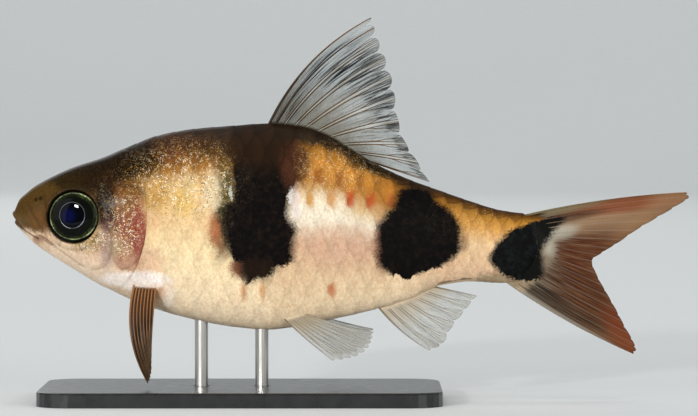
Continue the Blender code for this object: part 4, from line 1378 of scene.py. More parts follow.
# Colour, mottling, softness, then rows of height, front edge and rear edge. At both ends the
# edges cross, which closes the bar
BARS = (
    ("050404", "1E130C", 1.2, (
        (-13.8, 47.5, 42.5), (-12.4, 43.4, 45.6), (-11.0, 43.2, 49.2), (-9.9, 42.8, 49.9),
        (-9.0, 42.6, 52.9), (-7.6, 40.8, 52.9), (-5.3, 40.1, 53.2), (-3.0, 39.3, 53.4),
        (-1.5, 39.2, 52.8), (0.0, 39.3, 51.9), (1.5, 39.5, 51.9), (2.7, 41.0, 52.4),
        (5.0, 41.3, 52.9), (7.0, 41.0, 53.6), (13.0, 41.0, 53.4), (18.0, 40.6, 54.0),
    )),
    ("060505", "1A120E", 1.1, (
        (-12.6, 78.0, 71.5), (-11.6, 71.2, 76.2), (-10.9, 70.6, 77.4), (-9.9, 69.5, 81.3),
        (-8.5, 68.6, 83.0), (-7.0, 68.5, 84.6), (-2.3, 68.7, 84.9), (-1.0, 69.8, 84.3),
        (0.6, 70.6, 82.8), (1.5, 71.5, 82.0), (2.5, 72.0, 80.3), (3.8, 72.3, 79.6),
        (4.6, 73.0, 78.8), (5.8, 78.4, 73.4),
    )),
    ("070708", "161A1A", 1.0, (
        (-13.2, 101.0, 95.0), (-12.1, 94.8, 100.6), (-11.0, 91.7, 100.8), (-10.1, 91.2, 100.7),
        (-8.6, 90.1, 100.4), (-7.2, 90.4, 100.4), (-5.3, 91.6, 101.2), (-3.4, 93.5, 102.8),
        (-1.5, 98.4, 104.4), (-0.6, 102.4, 104.6), (0.4, 106.0, 103.0),
    )),
)
# Colour, strength, softness, then the middle and the half length and height of each ellipse
PATCHES = (
    ("F6F0DA", 0.70, 0.8, (57.8, 1.0), (5.8, 3.0)),
    ("D2AC92", 0.55, 0.8, (62.0, -6.0), (7.5, 4.0)),
    ("6A4C30", 0.90, 0.8, (39.5, -3.6), (1.9, 4.6)),
    ("7A4A30", 0.65, 0.7, (42.9, -10.2), (1.9, 1.9)),
    ("5A3820", 0.75, 0.7, (54.0, 9.2), (1.7, 3.8)),
    ("4A4828", 0.95, 0.8, (40.0, 3.4), (1.7, 6.6)),
    # A painted glint beside the first blotch's rear edge
    ("E6E0E2", 0.60, 0.9, (53.3, 2.2), (0.9, 3.2)),
    ("8A5238", 0.70, 1.2, (69.4, -5.2), (1.3, 5.4)),
    ("2E2012", 0.90, 0.6, (76.2, 6.8), (3.8, 3.0)),
    ("7A4A2C", 0.50, 0.8, (85.4, -5.2), (0.8, 1.9)),
    ("7C4422", 0.55, 0.9, (29.2, 11.0), (4.8, 1.8)),
    ("4A2408", 0.50, 0.9, (29.0, 13.6), (7.0, 2.0)),
    ("D8AC48", 0.50, 0.9, (28.0, 3.6), (1.8, 3.0)),
    ("DCB444", 0.55, 0.9, (32.2, 2.8), (1.8, 2.6)),
    ("EADCAC", 0.30, 0.9, (33.0, 6.0), (1.2, 2.4)),
    ("F0E6C6", 0.55, 0.9, (37.6, 4.2), (1.5, 4.2)),
    ("9A6226", 0.40, 0.9, (70.4, 4.6), (3.4, 2.4)),
    ("FCF2E0", 0.70, 0.9, (29.0, -15.2), (1.6, 2.4)),
    ("6E664E", 0.65, 0.7, (93.0, -12.8), (5.5, 1.7)),
    ("C8854E", 0.75, 0.8, (25.6, -14.6), (2.8, 2.4)),
    ("D69A40", 0.85, 1.2, (56.0, 2.9), (0.8, 1.5)),
    ("D89440", 0.80, 1.2, (60.0, 2.9), (0.8, 1.5)),
    ("C4501E", 0.95, 1.2, (63.6, 3.1), (0.85, 1.6)),
    ("C65A28", 0.95, 1.2, (67.4, 2.8), (0.85, 1.4)),
    ("B05E2E", 0.75, 1.2, (71.4, 2.8), (0.75, 1.3)),
    ("A85A22", 0.60, 0.7, (57.6, 7.5), (0.9, 1.8)),
    ("A45C28", 0.60, 0.7, (61.5, 6.8), (0.8, 1.8)),
    ("9C5420", 0.50, 0.7, (65.5, 6.6), (0.8, 1.5)),
    ("C8803E", 0.70, 1.2, (43.5, -14.5), (0.7, 1.6)),
    ("CC8C4C", 0.65, 1.2, (47.0, -14.3), (0.6, 1.6)),
    ("C87038", 0.80, 1.2, (60.2, -14.2), (0.7, 1.3)),
    ("B06A44", 0.80, 1.0, (38.0, -2.3), (1.2, 2.9)),
    ("7A3A22", 0.75, 0.9, (42.4, -10.0), (1.6, 1.7)),
    ("B4863E", 0.70, 0.9, (25.4, 3.4), (3.6, 2.4)),
    ("DCB488", 0.60, 0.9, (25.8, -1.0), (2.8, 1.8)),
    ("E2B496", 0.60, 0.9, (25.8, -8.8), (2.6, 3.0)),
    # The head
    ("1E1608", 0.90, 0.9, (11.6, 6.4), (7.2, 3.2)),
    ("4E3A18", 0.95, 0.35, (3.6, 1.6), (7.0, 4.8)),
    ("6E4A26", 0.60, 0.7, (6.0, -1.2), (3.0, 2.4)),
    ("D2B48E", 0.50, 0.6, (5.4, -5.6), (2.4, 1.2)),
    ("8E5A40", 0.60, 0.6, (4.8, -4.7), (1.2, 0.9)),
    ("150D05", 0.97, 0.6, (19.4, 10.8), (8.6, 5.2)),
    ("5E3A16", 0.85, 0.8, (22.4, 4.4), (3.0, 2.3)),
    ("22160C", 0.90, 0.8, (17.2, 6.2), (4.0, 2.6)),
    ("8A7030", 0.60, 0.8, (15.2, -5.4), (3.6, 1.8)),
    ("E2C8B0", 0.50, 0.9, (14.2, -7.6), (3.4, 1.6)),
    ("9A8490", 0.55, 0.9, (17.9, -5.8), (1.4, 4.4)),
    ("74481F", 0.90, 0.7, (20.8, 1.0), (3.6, 4.6)),
    ("8C4A40", 0.85, 0.8, (22.4, -3.4), (2.8, 4.2)),
    ("A89478", 0.75, 0.6, (19.6, -6.6), (1.5, 2.2)),
    ("A8705C", 0.70, 0.6, (21.8, -8.8), (2.4, 1.8)),
    ("8E3C3A", 0.85, 0.7, (24.2, -3.4), (1.4, 5.8)),
    ("120C0C", 0.97, 0.6, (17.6, 1.9), (2.1, 3.9)),
    ("5A3C44", 0.55, 0.9, (18.8, -1.8), (1.5, 1.9)),
    ("FFF8F0", 0.98, 0.5, (23.0, -12.3), (6.4, 1.6)),
    ("201A0E", 0.97, 0.20, (11.4, -0.25), (5.2, 5.1)),
)
# Laid over the bars
LATE_PATCHES = (
    ("2A1A0C", 0.85, 0.9, (46.5, 14.2), (9.5, 5.2)),
    ("4A2818", 0.80, 0.9, (52.8, 9.4), (2.2, 4.0)),
    ("2A1C12", 0.50, 0.8, (46.0, -10.5), (3.2, 2.4)),
    ("20180E", 0.80, 0.7, (60.5, 14.6), (7.5, 1.5)),
    ("20180E", 0.80, 0.7, (68.5, 9.8), (5.0, 1.1)),
    ("6A6254", 0.85, 0.6, (102.0, -10.0), (2.4, 4.2)),
    ("A8A290", 0.92, 0.6, (103.2, -5.2), (2.9, 2.7)),
    # Painted glints: white streaks along both edges of the first blotch
    ("DDE6D6", 0.60, 0.6, (41.2, 4.3), (0.28, 1.4)),
    ("F4F0EA", 0.60, 0.6, (52.5, 4.0), (0.45, 1.6)),
)
SMALL = 1.0  # ellipses with a smaller half length wander less
# Grains of glitter: size in mm, how rare they are, the density that they need, their least and
# greatest share, and two colours. Dark grains of pigment lie between the bright ones, and the
# gold and pale grains are painted glints of the skin's shiny crystals
GRAINS = (
    (0.26, 0.35, 0.0, 0.10, 0.70, "3A2208", "6A4418"),
    (0.21, 0.45, 0.0, 0.02, 0.65, "C88A30", "E8B858"),
    (0.15, 0.66, 0.0, 0.01, 1.00, "F6D488", "FFFAE8"),
    (0.18, 0.70, 0.5, 0.00, 1.00, "FFF2C8", "FFFFFF"),
)
# Where the glitter and its painted glints lie: its strength, then the middle and half sizes
GLITTER = (
    (1.10, (33.0, 6.0), (10.0, 6.4)),
    (0.95, (21.8, -1.4), (3.4, 6.4)),
    (1.60, (21.4, -4.4), (2.3, 3.4)),
    (1.50, (15.2, -4.8), (4.0, 2.0)),
    (0.60, (60.0, 8.6), (9.0, 4.5)),
    (0.50, (40.3, 2.0), (1.8, 7.0)),
    (0.30, (84.5, -1.2), (8.0, 2.8)),
    (0.20, (17.4, 2.0), (2.0, 4.0)),
)
print("ramps:", len(GROUND), "bars:", len(BARS), "patches:", len(PATCHES + LATE_PATCHES))

# %% The markings as one node group
LOWEST, HIGHEST = -26.0, 20.0  # heights that the bars' curves span
LENGTH_SPAN = 130.0


def painted(tree, share, under, over):
    """One paint laid over another by the share. Each is a hex code or a colour from a node."""
    under, over = [colour(paint) if isinstance(paint, str) else paint for paint in (under, over)]
    return add(tree, "Mix", {0: share, 6: under, 7: over}, data_type="RGBA").outputs[2]


def bar_mask(tree, along, height, rows, soft):
    """1 between the front and rear edge, which curves give for each height."""
    level = add(tree, "MapRange", {0: height, 1: LOWEST, 2: HIGHEST})
    sides = []
    for column, way in ((1, 1.0), (2, -1.0)):
        edge = add(tree, "FloatCurve", {1: level})
        curve = edge.mapping.curves[0]
        for row in rows:
            spot = (row[0] - LOWEST) / (HIGHEST - LOWEST), row[column] / LENGTH_SPAN
            curve.points.new(*spot).handle_type = "VECTOR"
        first, last = rows[0], rows[-1]
        curve.points[0].location = 0.0, first[column] / LENGTH_SPAN
        curve.points[len(curve.points) - 1].location = 1.0, last[column] / LENGTH_SPAN
        edge.mapping.update()
        place = add(tree, "Math", {0: along, 1: way}, operation="MULTIPLY")
        inside = {0: edge, 1: -LENGTH_SPAN * way, 2: place}
        inside = add(tree, "Math", inside, operation="MULTIPLY_ADD")
        sides.append(add(tree, "MapRange", {0: inside, 1: -soft, 2: soft}, **SMOOTH))
    return add(tree, "Math", {0: sides[0], 1: sides[1]}, operation="MULTIPLY")


def patch_mask(tree, spot, strength, soft, centre, half):
    """The strength inside an ellipse, falling to 0 over its soft rim."""
    scale = (1 / half[0], 1 / half[1], 0.0)
    shift = (-centre[0] / half[0], -centre[1] / half[1], 0.0)
    scaled = add(tree, "VectorMath", {0: spot, 1: scale, 2: shift}, operation="MULTIPLY_ADD")
    reach = add(tree, "VectorMath", {0: scaled}, operation="LENGTH").outputs[1]
    rim = {0: reach, 1: 1 + soft * 0.6, 2: 1 - soft * 0.6, 4: strength}
    return add(tree, "MapRange", rim, **SMOOTH)


def wandering(tree, place, coordinates):
    """The place, shaken by noise in two sizes so that no edge of the paint runs straight."""
    for size, strength in ((2.4 * MM, 1.2), (0.30 * MM, 1.3)):
        noise = add(tree, "TexNoise", {0: coordinates, 2: 1 / size, 3: 1.0}).outputs["Color"]
        centred = add(tree, "VectorMath", {0: noise, 1: (0.5,) * 3}, operation="SUBTRACT")
        shaken = {0: centred, 1: (strength, strength, strength * 0.012), 2: place}
        place = add(tree, "VectorMath", shaken, operation="MULTIPLY_ADD")
    return place


def ground_ramp(tree, key, down):
    """The ground colour of one part of the fish, from its back to its belly."""
    ramp = add(tree, "ValToRGB", {0: down})
    elements, stops = ramp.color_ramp.elements, GROUND[key]
    for _ in stops[2:]:
        elements.new(0.5)
    for element, (share, code) in zip(elements, stops):
        element.position, element.color = share, colour(code)
    return ramp.outputs[0]


def patched(tree, ground, spot, patches, fine):
    """The ground with soft ellipses of paint over it. The small ones are placed by fine."""
    for code, strength, soft, centre, half in patches:
        where = fine if half[0] < SMALL else spot
        mask = patch_mask(tree, where, strength, soft, centre, half)
        ground = painted(tree, mask, ground, code)
    return ground


def glints_and_specks(tree, ground, coordinates, streaky, dense, plain):
    """The ground with dark grains and painted glints over it, strongest where they lie dense and the
    paint is plain.
    """
    noise = add(tree, "TexNoise", {0: coordinates, 2: 1 / (0.10 * MM), 3: 1.0}).outputs["Color"]
    uneven = {0: noise, 1: (0.16 * MM,) * 3, 2: coordinates}
    uneven = add(tree, "VectorMath", uneven, operation="MULTIPLY_ADD")
    patchy = add(tree, "TexNoise", {0: streaky, 2: 1 / (0.55 * MM), 3: 4.0, 4: 0.65})
    patchy = add(tree, "MapRange", {0: patchy, 1: 0.42, 2: 0.58, 3: 0.05})
    density = add(tree, "Math", {0: dense, 1: patchy}, operation="MULTIPLY")
    for size, rarest, needed, least, share, code, other in GRAINS:
        cells = add(tree, "TexVoronoi", {0: uneven, 2: 1 / (size * MM), 8: 1.0})
        chance = add(tree, "SeparateColor", {0: cells.outputs["Color"]})
        core = add(tree, "MapRange", {0: cells.outputs["Distance"], 1: 0.65, 2: 0.30}, **SMOOTH)
        rare = add(tree, "MapRange", {0: chance, 1: rarest, 2: rarest + 0.1})
        held = add(tree, "MapRange", {0: density, 1: needed, 3: least, 4: share})
        speck = core
        for factor in (rare, held, plain):
            speck = add(tree, "Math", {0: speck, 1: factor}, operation="MULTIPLY")
        ground = painted(tree, speck, ground, painted(tree, chance.outputs[1], code, other))
    return ground


def markings_group():
    """The fish's colour and how far it is blotch, from the place that each point remembers."""
    tree = bpy.data.node_groups.new("fish markings", "ShaderNodeTree")
    for key, kind in (("Colour", "NodeSocketColor"), ("Blotch", "NodeSocketFloat")):
        tree.interface.new_socket(key, in_out="OUTPUT", socket_type=kind)
    place = add(tree, "Attribute", attribute_name="place").outputs["Vector"]
    coordinates = add(tree, "TexCoord").outputs["Object"]
    spot = wandering(tree, place, coordinates)
    along, height, down = add(tree, "SeparateXYZ", {0: spot}).outputs
    ground = ground_ramp(tree, "head", down)
    for key, start, end in GROUND_SPANS:
        past = add(tree, "MapRange", {0: along, 1: start, 2: end}, **SMOOTH)
        ground = painted(tree, past, ground, ground_ramp(tree, key, down))
    calm = add(tree, "Mix", {0: 0.4, 4: place, 5: spot}, data_type="VECTOR").outputs[1]
    ground = patched(tree, ground, spot, PATCHES, calm)
    streaky = add(tree, "Mapping", {0: coordinates, 3: (1.0, 1.0, 0.6)})
    streaks = add(tree, "TexNoise", {0: streaky, 2: 1 / (0.45 * MM), 3: 4.0, 4: 0.7})
    warm = add(tree, "MapRange", {0: streaks, 1: 0.35, 2: 0.65})
    warm = {0: 0.55, 6: ground, 7: painted(tree, warm, "DCBCA8", "FFFFFF")}
    ground = add(tree, "Mix", warm, data_type="RGBA", blend_type="MULTIPLY").outputs[2]
    dense = blotch = 0.0
    for strength, centre, half in GLITTER:
        zone = patch_mask(tree, spot, strength, 1.0, centre, half)
        dense = add(tree, "Math", {0: zone, 1: dense}, operation="MAXIMUM")
    mottle = add(tree, "TexNoise", {0: coordinates, 2: 1 / (0.9 * MM), 3: 4.0, 4: 0.7})
    mottle = add(tree, "MapRange", {0: mottle, 1: 0.48, 2: 0.70})
    for code, other, soft, rows in BARS:
        mask = bar_mask(tree, along, height, rows, soft)
        ground = painted(tree, mask, ground, painted(tree, mottle, code, other))
        blotch = add(tree, "Math", {0: mask, 1: blotch}, operation="MAXIMUM")
    ground = patched(tree, ground, spot, LATE_PATCHES, spot)
    plain = add(tree, "MapRange", {0: blotch, 3: 1.0, 4: 0.08})
    ground = glints_and_specks(tree, ground, coordinates, streaky, dense, plain)
    feed(tree, add(tree, "NodeGroupOutput"), {"Colour": ground, "Blotch": blotch})
    return tree


markings = markings_group()
print("nodes in the markings:", len(markings.nodes))

# %% [markdown]
# ## Painted resin
#
# The body is cast in resin and airbrushed under a thin varnish. A glossy coat all over would
# look like plastic and lay a grey haze over the dark paint, so the highlights are kept soft and
# fine pores break them up. Painted shade darkens the folds of the head. A scale is darker at its
# base, painted shade under the tips of the row before, and along its edge, partly dark pigment
# and partly painted shade of the step, and it has the fine ridges of a real scale. The black
# blotches are the dullest.

# %% Skin and scales: airbrushed resin under varnish


def new_material(name, plain):
    """A material with one shader. plain gives the inputs that are the same all over."""
    made = bpy.data.materials.new(name)
    made.use_nodes = True
    tree = made.node_tree
    shader = tree.nodes["Principled BSDF"]
    feed(tree, shader, plain)
    return made, tree, shader


def cloudy_material(name, plain, stretch, size, detail, paints, gloss=None):
    """One noise, scaled along the axes by stretch, runs between two paints and two glosses."""
    made, tree, shader = new_material(name, plain)
    place = add(tree, "Mapping", {0: add(tree, "TexCoord").outputs["Object"], 3: stretch})
    cloud = add(tree, "TexNoise", {0: place, 2: 1 / size, 3: detail})
    feed(tree, shader, {"Base Color": painted(tree, cloud, *paints)})
    if gloss:
        feed(tree, shader, {"Roughness": add(tree, "MapRange", {0: cloud, **gloss})})
    return made


def skin_material():
    """Cast resin, airbrushed and varnished: soft highlights, and painted shade in the folds."""
    made, tree, shader = new_material("airbrushed resin skin", {
        "Coat Weight": 0.01, "Coat Roughness": 0.12, "Specular IOR Level": 0.04,
    })
    paint = add(tree, "Group", node_tree=markings).outputs["Colour"]
    # Painted shade of the folds, pits, mouth, nostrils and eye socket darkens the paint
    painted_fold_shade = add(tree, "Attribute", attribute_name="dark").outputs["Fac"]
    deep = add(tree, "Math", {0: painted_fold_shade, 1: 0.85}, operation="MULTIPLY")
    coordinates = add(tree, "TexCoord").outputs["Object"]
    pores = add(tree, "TexNoise", {0: coordinates, 2: 1 / (0.30 * MM), 3: 2.0})
    feed(tree, shader, {
        "Base Color": painted(tree, deep, paint, "150F0A"),
        "Roughness": add(tree, "MapRange", {0: pores, 3: 0.20, 4: 0.34}),
        "Normal": add(tree, "Bump", {"Strength": 0.25, "Distance": 0.03 * MM, "Height": pores}),
    })
    return made


RIDGE_BEAT = 34.0  # ridges that a whole turn round the root would hold


def scale_material():
    """The same paint on thin cast scales: each a little different, with fine ridges, and painted shade
    at its base and edge.
    """
    made, tree, shader = new_material("airbrushed resin scales", {
        "Coat Weight": 0.02, "Coat Roughness": 0.12, "Specular IOR Level": 0.05,
    })
    paint = add(tree, "Group", node_tree=markings)
    local, root, place = [
        add(tree, "Attribute", attribute_name=key).outputs["Vector"]
        for key in ("local", "root", "place")
    ]
    front, across, _ = add(tree, "SeparateXYZ", {0: local}).outputs
    chance = add(tree, "SeparateXYZ", {0: root}).outputs[2]
    down = add(tree, "SeparateXYZ", {0: place}).outputs[2]
    plain_zone = add(tree, "MapRange", {0: down, 1: 0.24, 2: 0.42})
    # Each scale is darker at its base: painted shade under the tips of the row before
    base = add(tree, "MapRange", {0: plain_zone, 3: 0.70, 4: 0.93})
    bright = add(tree, "MapRange", {0: chance, 3: 1.02, 4: 1.12})
    value = add(tree, "MapRange", {0: front, 1: -0.05, 2: 0.80, 3: base, 4: bright}, **SMOOTH)
    tone = add(tree, "HueSaturation", {"Value": value, "Color": paint.outputs["Colour"]}).outputs[0]
    reach = add(tree, "VectorMath", {0: local}, operation="LENGTH").outputs[1]
    # A dark line along the edge: partly the scale's own pigment, partly painted shade of its step
    most = add(tree, "MapRange", {0: plain_zone, 3: 0.50, 4: 0.18})
    edge = add(tree, "MapRange", {0: reach, 1: 0.86, 2: 0.97, 3: 0.0, 4: most}, **SMOOTH)
    shaded = add(tree, "HueSaturation", {"Value": 0.40, "Color": tone}).outputs[0]
    # Ridges fan out from behind the root, and the plate's rim is rounded
    ahead = add(tree, "Math", {0: front, 1: 1.3}, operation="ADD")
    angle = add(tree, "Math", {0: across, 1: ahead}, operation="ARCTAN2")
    ridges = add(tree, "Math", {0: angle, 1: RIDGE_BEAT}, operation="MULTIPLY")
    ridges = add(tree, "Math", {0: ridges}, operation="SINE")
    rounded = add(tree, "MapRange", {0: reach, 1: 0.80, 2: 1.0, 3: 0.0, 4: -3.0}, **SMOOTH)
    relief = add(tree, "Math", {0: ridges, 1: 0.4, 2: rounded}, operation="MULTIPLY_ADD")
    rough = add(tree, "MapRange", {0: chance, 3: 0.36, 4: 0.44})
    for share, more in ((plain_zone, -0.16), (paint.outputs["Blotch"], 0.20)):
        rough = add(tree, "Math", {0: share, 1: more, 2: rough}, operation="MULTIPLY_ADD")
    feed(tree, shader, {
        "Base Color": painted(tree, edge, tone, shaded),
        "Roughness": rough,
        "Normal": add(tree, "Bump", {"Strength": 0.5, "Distance": 0.012 * MM, "Height": relief}),
    })
    return made


paint_with(skin_piece, skin_material())
paint_with(scales_piece, scale_material())
print("painted:", skin_piece.name, scales_piece.name)

# %% [markdown]
# ## Paint behind glass
#
# A glass eye is painted on its flat back, so the rings seem to lie deep inside it. Here the
# same rings are worked out from the distance to the middle of the pupil, or of the eye. The
# silver and gold are broken up by small cells, and painted highlights make them brightest in a
# few spots, where foil would catch the light.

# %% The glass eye
# All in units of the eye's radius
PUPIL = 0.50
PUPIL_SHIFT = (0.018, 0.060)
RING_SHIFT = (0.040, 0.025)
RING_SQUASH = 1.04  # the gold ring is lower than it is wide
# Painted highlights on the rings: how bright they are, and in which spots
PAINTED_HIGHLIGHT_SPOTS = (
    (1.0, (0.50, 0.78)), (0.9, (0.66, -0.62)), (0.8, (-0.86, -0.34)), (0.5, (0.05, -0.92)),
    (0.5, (-0.60, 0.66)), (0.8, (-0.30, -0.42)), (0.8, (0.42, -0.30)),
)


def eye_material():
    """Black glass with paint behind it: a navy pupil, a silver ring and a broken gold ring, with
    painted highlights.
    """
    made, tree, shader = new_material("painted glass eye", {
        "Coat Weight": 0.14, "Coat Roughness": 0.02, "Specular IOR Level": 0.0, "Roughness": 0.5,
    })
    iris = add(tree, "Attribute", attribute_name="iris").outputs["Vector"]

    def reach_from(centre, squash=1.0):
        flat = {0: iris, 1: (1.0, squash, 0.0), 2: (-centre[0], -centre[1] * squash, 0.0)}
        flat = add(tree, "VectorMath", flat, operation="MULTIPLY_ADD")
        return add(tree, "VectorMath", {0: flat}, operation="LENGTH").outputs[1]

    cells = add(tree, "TexVoronoi", {0: iris, 2: 15.0})
    chance = add(tree, "SeparateColor", {0: cells.outputs["Color"]})
    # The rings' painted highlights, brightest near the spots
    light = 0.22
    for strength, spot in PAINTED_HIGHLIGHT_SPOTS:
        arc = add(tree, "MapRange", {0: reach_from(spot), 1: 0.42, 2: 0.05, 4: strength}, **SMOOTH)
        light = add(tree, "Math", {0: arc, 1: light}, operation="MAXIMUM")
    grain = add(tree, "TexNoise", {0: iris, 2: 9.0, 3: 3.0})
    paint = painted(tree, grain, "040503", "0F110B")
    from_pupil, from_middle = reach_from(PUPIL_SHIFT), reach_from(RING_SHIFT, RING_SQUASH)
    from_navy = reach_from((PUPIL_SHIFT[0] - 0.14, PUPIL_SHIFT[1] - 0.02))
    # Reach, middle, half width, softness, colour, strength, and the least share of it that is
    # left where it is broken up, if it is
    rings = (
        (from_pupil, 0.0, PUPIL, 0.02, "020307", 1.0, None),
        (from_navy, 0.0, 0.10, 0.30, "080C38", 0.8, None),
        (from_pupil, PUPIL + 0.008, 0.004, 0.014, "C4C6D0", 1.0, 0.5),
        (from_middle, 0.935, 0.006, 0.030, "DCE8A8", 1.0, 0.2),
        (from_middle, 0.87, 0.03, 0.06, "5C6630", 0.4, 0.1),
    )
    for reach, middle, half, soft, code, strength, least in rings:
        away = add(tree, "Math", {0: reach, 1: middle}, operation="SUBTRACT")
        away = add(tree, "Math", {0: away}, operation="ABSOLUTE")
        mask = add(tree, "MapRange", {0: away, 1: half + soft, 2: half, 4: strength}, **SMOOTH)
        if least is not None:
            broken = add(tree, "MapRange", {0: chance.outputs[0], 1: 0.1, 2: 0.8, 3: least})
            broken = add(tree, "Math", {0: broken, 1: light}, operation="MULTIPLY")
            mask = add(tree, "Math", {0: mask, 1: broken}, operation="MULTIPLY")
        paint = painted(tree, mask, paint, code)
    feed(tree, shader, {"Base Color": paint})
    return made


eye_paint = eye_material()
for piece in eyes.values():
    paint_with(piece, eye_paint)
print("bright spots:", len(PAINTED_HIGHLIGHT_SPOTS))

# %% [markdown]
# ## Clear resin
#
# A fin of this size would be cast in clear resin and tinted, not painted on both sides. So its
# film lets some light through, least at the root and where the smoke of dark paint lies. Its
# paint is placed by ray number and share of length, so it follows the rays. The body's paint
# runs a little way out over the fleshy foot, as it does in life.

# %% Fins: tinted clear resin
# Film at the root and edge with its cover, then rays at the root and tip
FIN_TINTS = {
    "clear": (("6E6A5A", 0.58), ("A6AEAC", 0.36), "2E1E10", "7A5430"),
    "pale": (("C8B89C", 0.60), ("B8B8B0", 0.38), "8A7A60", "A8A298"),
    "red": (("756C5C", 0.98), ("6C4A2E", 0.92), "6A5A48", "6E4428"),
    "brown": (("4E3018", 1.0), ("20140A", 0.97), "A0724A", "54402C"),
}
FIN_KIND = {
    "dorsal_fin": "clear", "anal_fin": "pale", "tail_fin": "red", "pelvic_fin_left": "pale",
    "pelvic_fin_right": "pale", "pectoral_fin_left": "brown", "pectoral_fin_right": "brown",
}
# Colour, strength, softness, then middle and half size in rays and share of length
FIN_PATCHES = {
    "red": (
        ("924A2C", 0.88, 0.8, (1.6, 0.56), (1.5, 0.36)),
        ("AC8C6C", 0.92, 0.8, (4.2, 0.58), (1.6, 0.36)),
        ("C4BEAC", 0.95, 0.8, (5.2, 0.28), (1.3, 0.14)),
        ("3A2818", 0.92, 0.8, (2.2, 0.27), (0.8, 0.22)),
        ("522614", 0.98, 0.8, (8.6, 0.66), (3.8, 0.42)),
        ("44200E", 0.95, 0.8, (13.2, 0.60), (2.8, 0.46)),
        ("2A2016", 0.97, 0.6, (16.3, 0.36), (1.4, 0.40)),
        ("A09A8C", 0.85, 0.6, (18.1, 0.35), (0.7, 0.50)),
        ("7C7151", 0.85, 0.6, (0.0, 0.22), (1.3, 0.26)),
        ("84381A", 0.70, 0.9, (15.8, 0.95), (2.6, 0.16)),
        ("A07A58", 0.80, 0.8, (2.2, 0.94), (3.4, 0.18)),
    ),
    "clear": (
        ("2E2418", 0.85, 0.9, (0.0, 0.10), (2.6, 0.42)),
        ("6E5A38", 0.55, 1.0, (5.2, 0.45), (2.6, 0.40)),
        ("181C20", 0.95, 1.0, (1.1, 0.60), (0.8, 0.28)),
        ("1A1E22", 1.00, 1.0, (2.6, 0.70), (1.1, 0.30)),
        ("20242A", 0.95, 1.0, (4.3, 0.84), (1.0, 0.22)),
        ("24282E", 0.90, 1.0, (5.7, 0.88), (0.9, 0.18)),
        ("2A2A28", 0.80, 1.0, (7.6, 0.92), (1.6, 0.14)),
    ),
}
PALE_LINE = {"red": 0.08, "clear": 0.35, "pale": 0.3, "brown": 0.0}
# Where the body's paint ends, in mm from the root
FOOT_PAINT = {"red": (1.6, 3.6), "clear": (0.1, 0.9), "pale": (0.1, 1.2), "brown": (0.1, 0.8)}
JOINT_BEAT = 180.0  # the angle that the joints' waves run through from root to edge


def film_material(kind):
    """Thin clear resin, tinted, and painted with the body's colours at its fleshy foot."""
    root, edge, _, _ = FIN_TINTS[kind]
    made, tree, shader = new_material(
        f"tinted clear resin film {kind}", {"Roughness": 0.32, "Specular IOR Level": 0.08}
    )
    paint = add(tree, "Group", node_tree=markings)
    fin = add(tree, "Attribute", attribute_name="fin").outputs["Vector"]
    number, out, from_root = add(tree, "SeparateXYZ", {0: fin}).outputs
    coordinates = add(tree, "TexCoord").outputs["Object"]
    cloud = add(tree, "TexNoise", {0: coordinates, 2: 1 / (1.2 * MM), 3: 2.0})
    moved = add(tree, "Math", {0: cloud, 1: 0.25, 2: out}, operation="MULTIPLY_ADD")
    far = add(tree, "MapRange", {0: moved, 1: 0.20, 2: 0.75}, **SMOOTH)
    tint = painted(tree, far, root[0], edge[0])
    along_rays = add(tree, "VectorMath", {0: fin, 1: (9.0, 2.5, 0.0)}, operation="MULTIPLY")
    lines = add(tree, "TexNoise", {0: along_rays, 2: 1.0, 3: 3.0})
    smoke = 0.0
    for code, strength, *ellipse in FIN_PATCHES.get(kind, ()):
        mask = patch_mask(tree, fin, 1.0, *ellipse)
        most = add(tree, "MapRange", {0: lines, 1: 0.40, 2: 0.60, 3: strength, 4: 0.3 * strength})
        mask = add(tree, "Math", {0: mask, 1: most}, operation="MULTIPLY")
        tint = painted(tree, mask, tint, code)
        smoke = add(tree, "Math", {0: mask, 1: smoke}, operation="MAXIMUM")
    shades = add(tree, "MapRange", {0: lines, 1: 0.3, 2: 0.7, 3: 0.60, 4: 1.30})
    tint = add(tree, "HueSaturation", {"Value": shades, "Color": tint}).outputs[0]
    # A pale line runs between the two strands of a ray
    beside = add(tree, "Math", {0: number, 1: 0.5}, operation="PINGPONG")
    gleam = add(tree, "MapRange", {0: beside, 1: 0.09, 2: 0.03, 4: PALE_LINE[kind]})
    tint = painted(tree, gleam, tint, "D8D2C0")
    start, end = FOOT_PAINT[kind]
    foot = add(tree, "MapRange", {0: from_root, 1: start, 2: end}, **SMOOTH)
    tint = painted(tree, foot, paint.outputs["Colour"], tint)
    if kind == "red":
        tint = painted(tree, paint.outputs["Blotch"], tint, "0C0C09")
    cover = add(tree, "MapRange", {0: far, 3: root[1], 4: edge[1]})
    cover = add(tree, "MapRange", {0: foot, 3: 1.0, 4: cover})
    cover = add(tree, "Math", {0: cover, 1: smoke}, operation="MAXIMUM")
    feed(tree, shader, {"Base Color": tint, "Alpha": cover})
    return made


def ray_material(kind):
    """Tinted resin rods, paler towards the edge, with the joints of the rays as faint rings."""
    _, _, root, tip = FIN_TINTS[kind]
    made, tree, shader = new_material(
        f"tinted resin rays {kind}", {"Roughness": 0.38, "Specular IOR Level": 0.15}
    )
    fin = add(tree, "Attribute", attribute_name="fin").outputs["Vector"]
    out = add(tree, "SeparateXYZ", {0: fin}).outputs[1]
    tint = painted(tree, out, root, tip)
    for code, strength, *ellipse in FIN_PATCHES.get(kind, ()):
        mask = patch_mask(tree, fin, strength * 0.75, *ellipse)
        tint = painted(tree, mask, tint, code)
    beats = add(tree, "Math", {0: out, 1: JOINT_BEAT}, operation="MULTIPLY")
    beats = add(tree, "Math", {0: beats}, operation="SINE")
    joint = add(tree, "MapRange", {0: beats, 1: 0.3, 2: 1.0, 4: 0.15})
    feed(tree, shader, {"Base Color": painted(tree, joint, tint, "1C1410")})
    return made


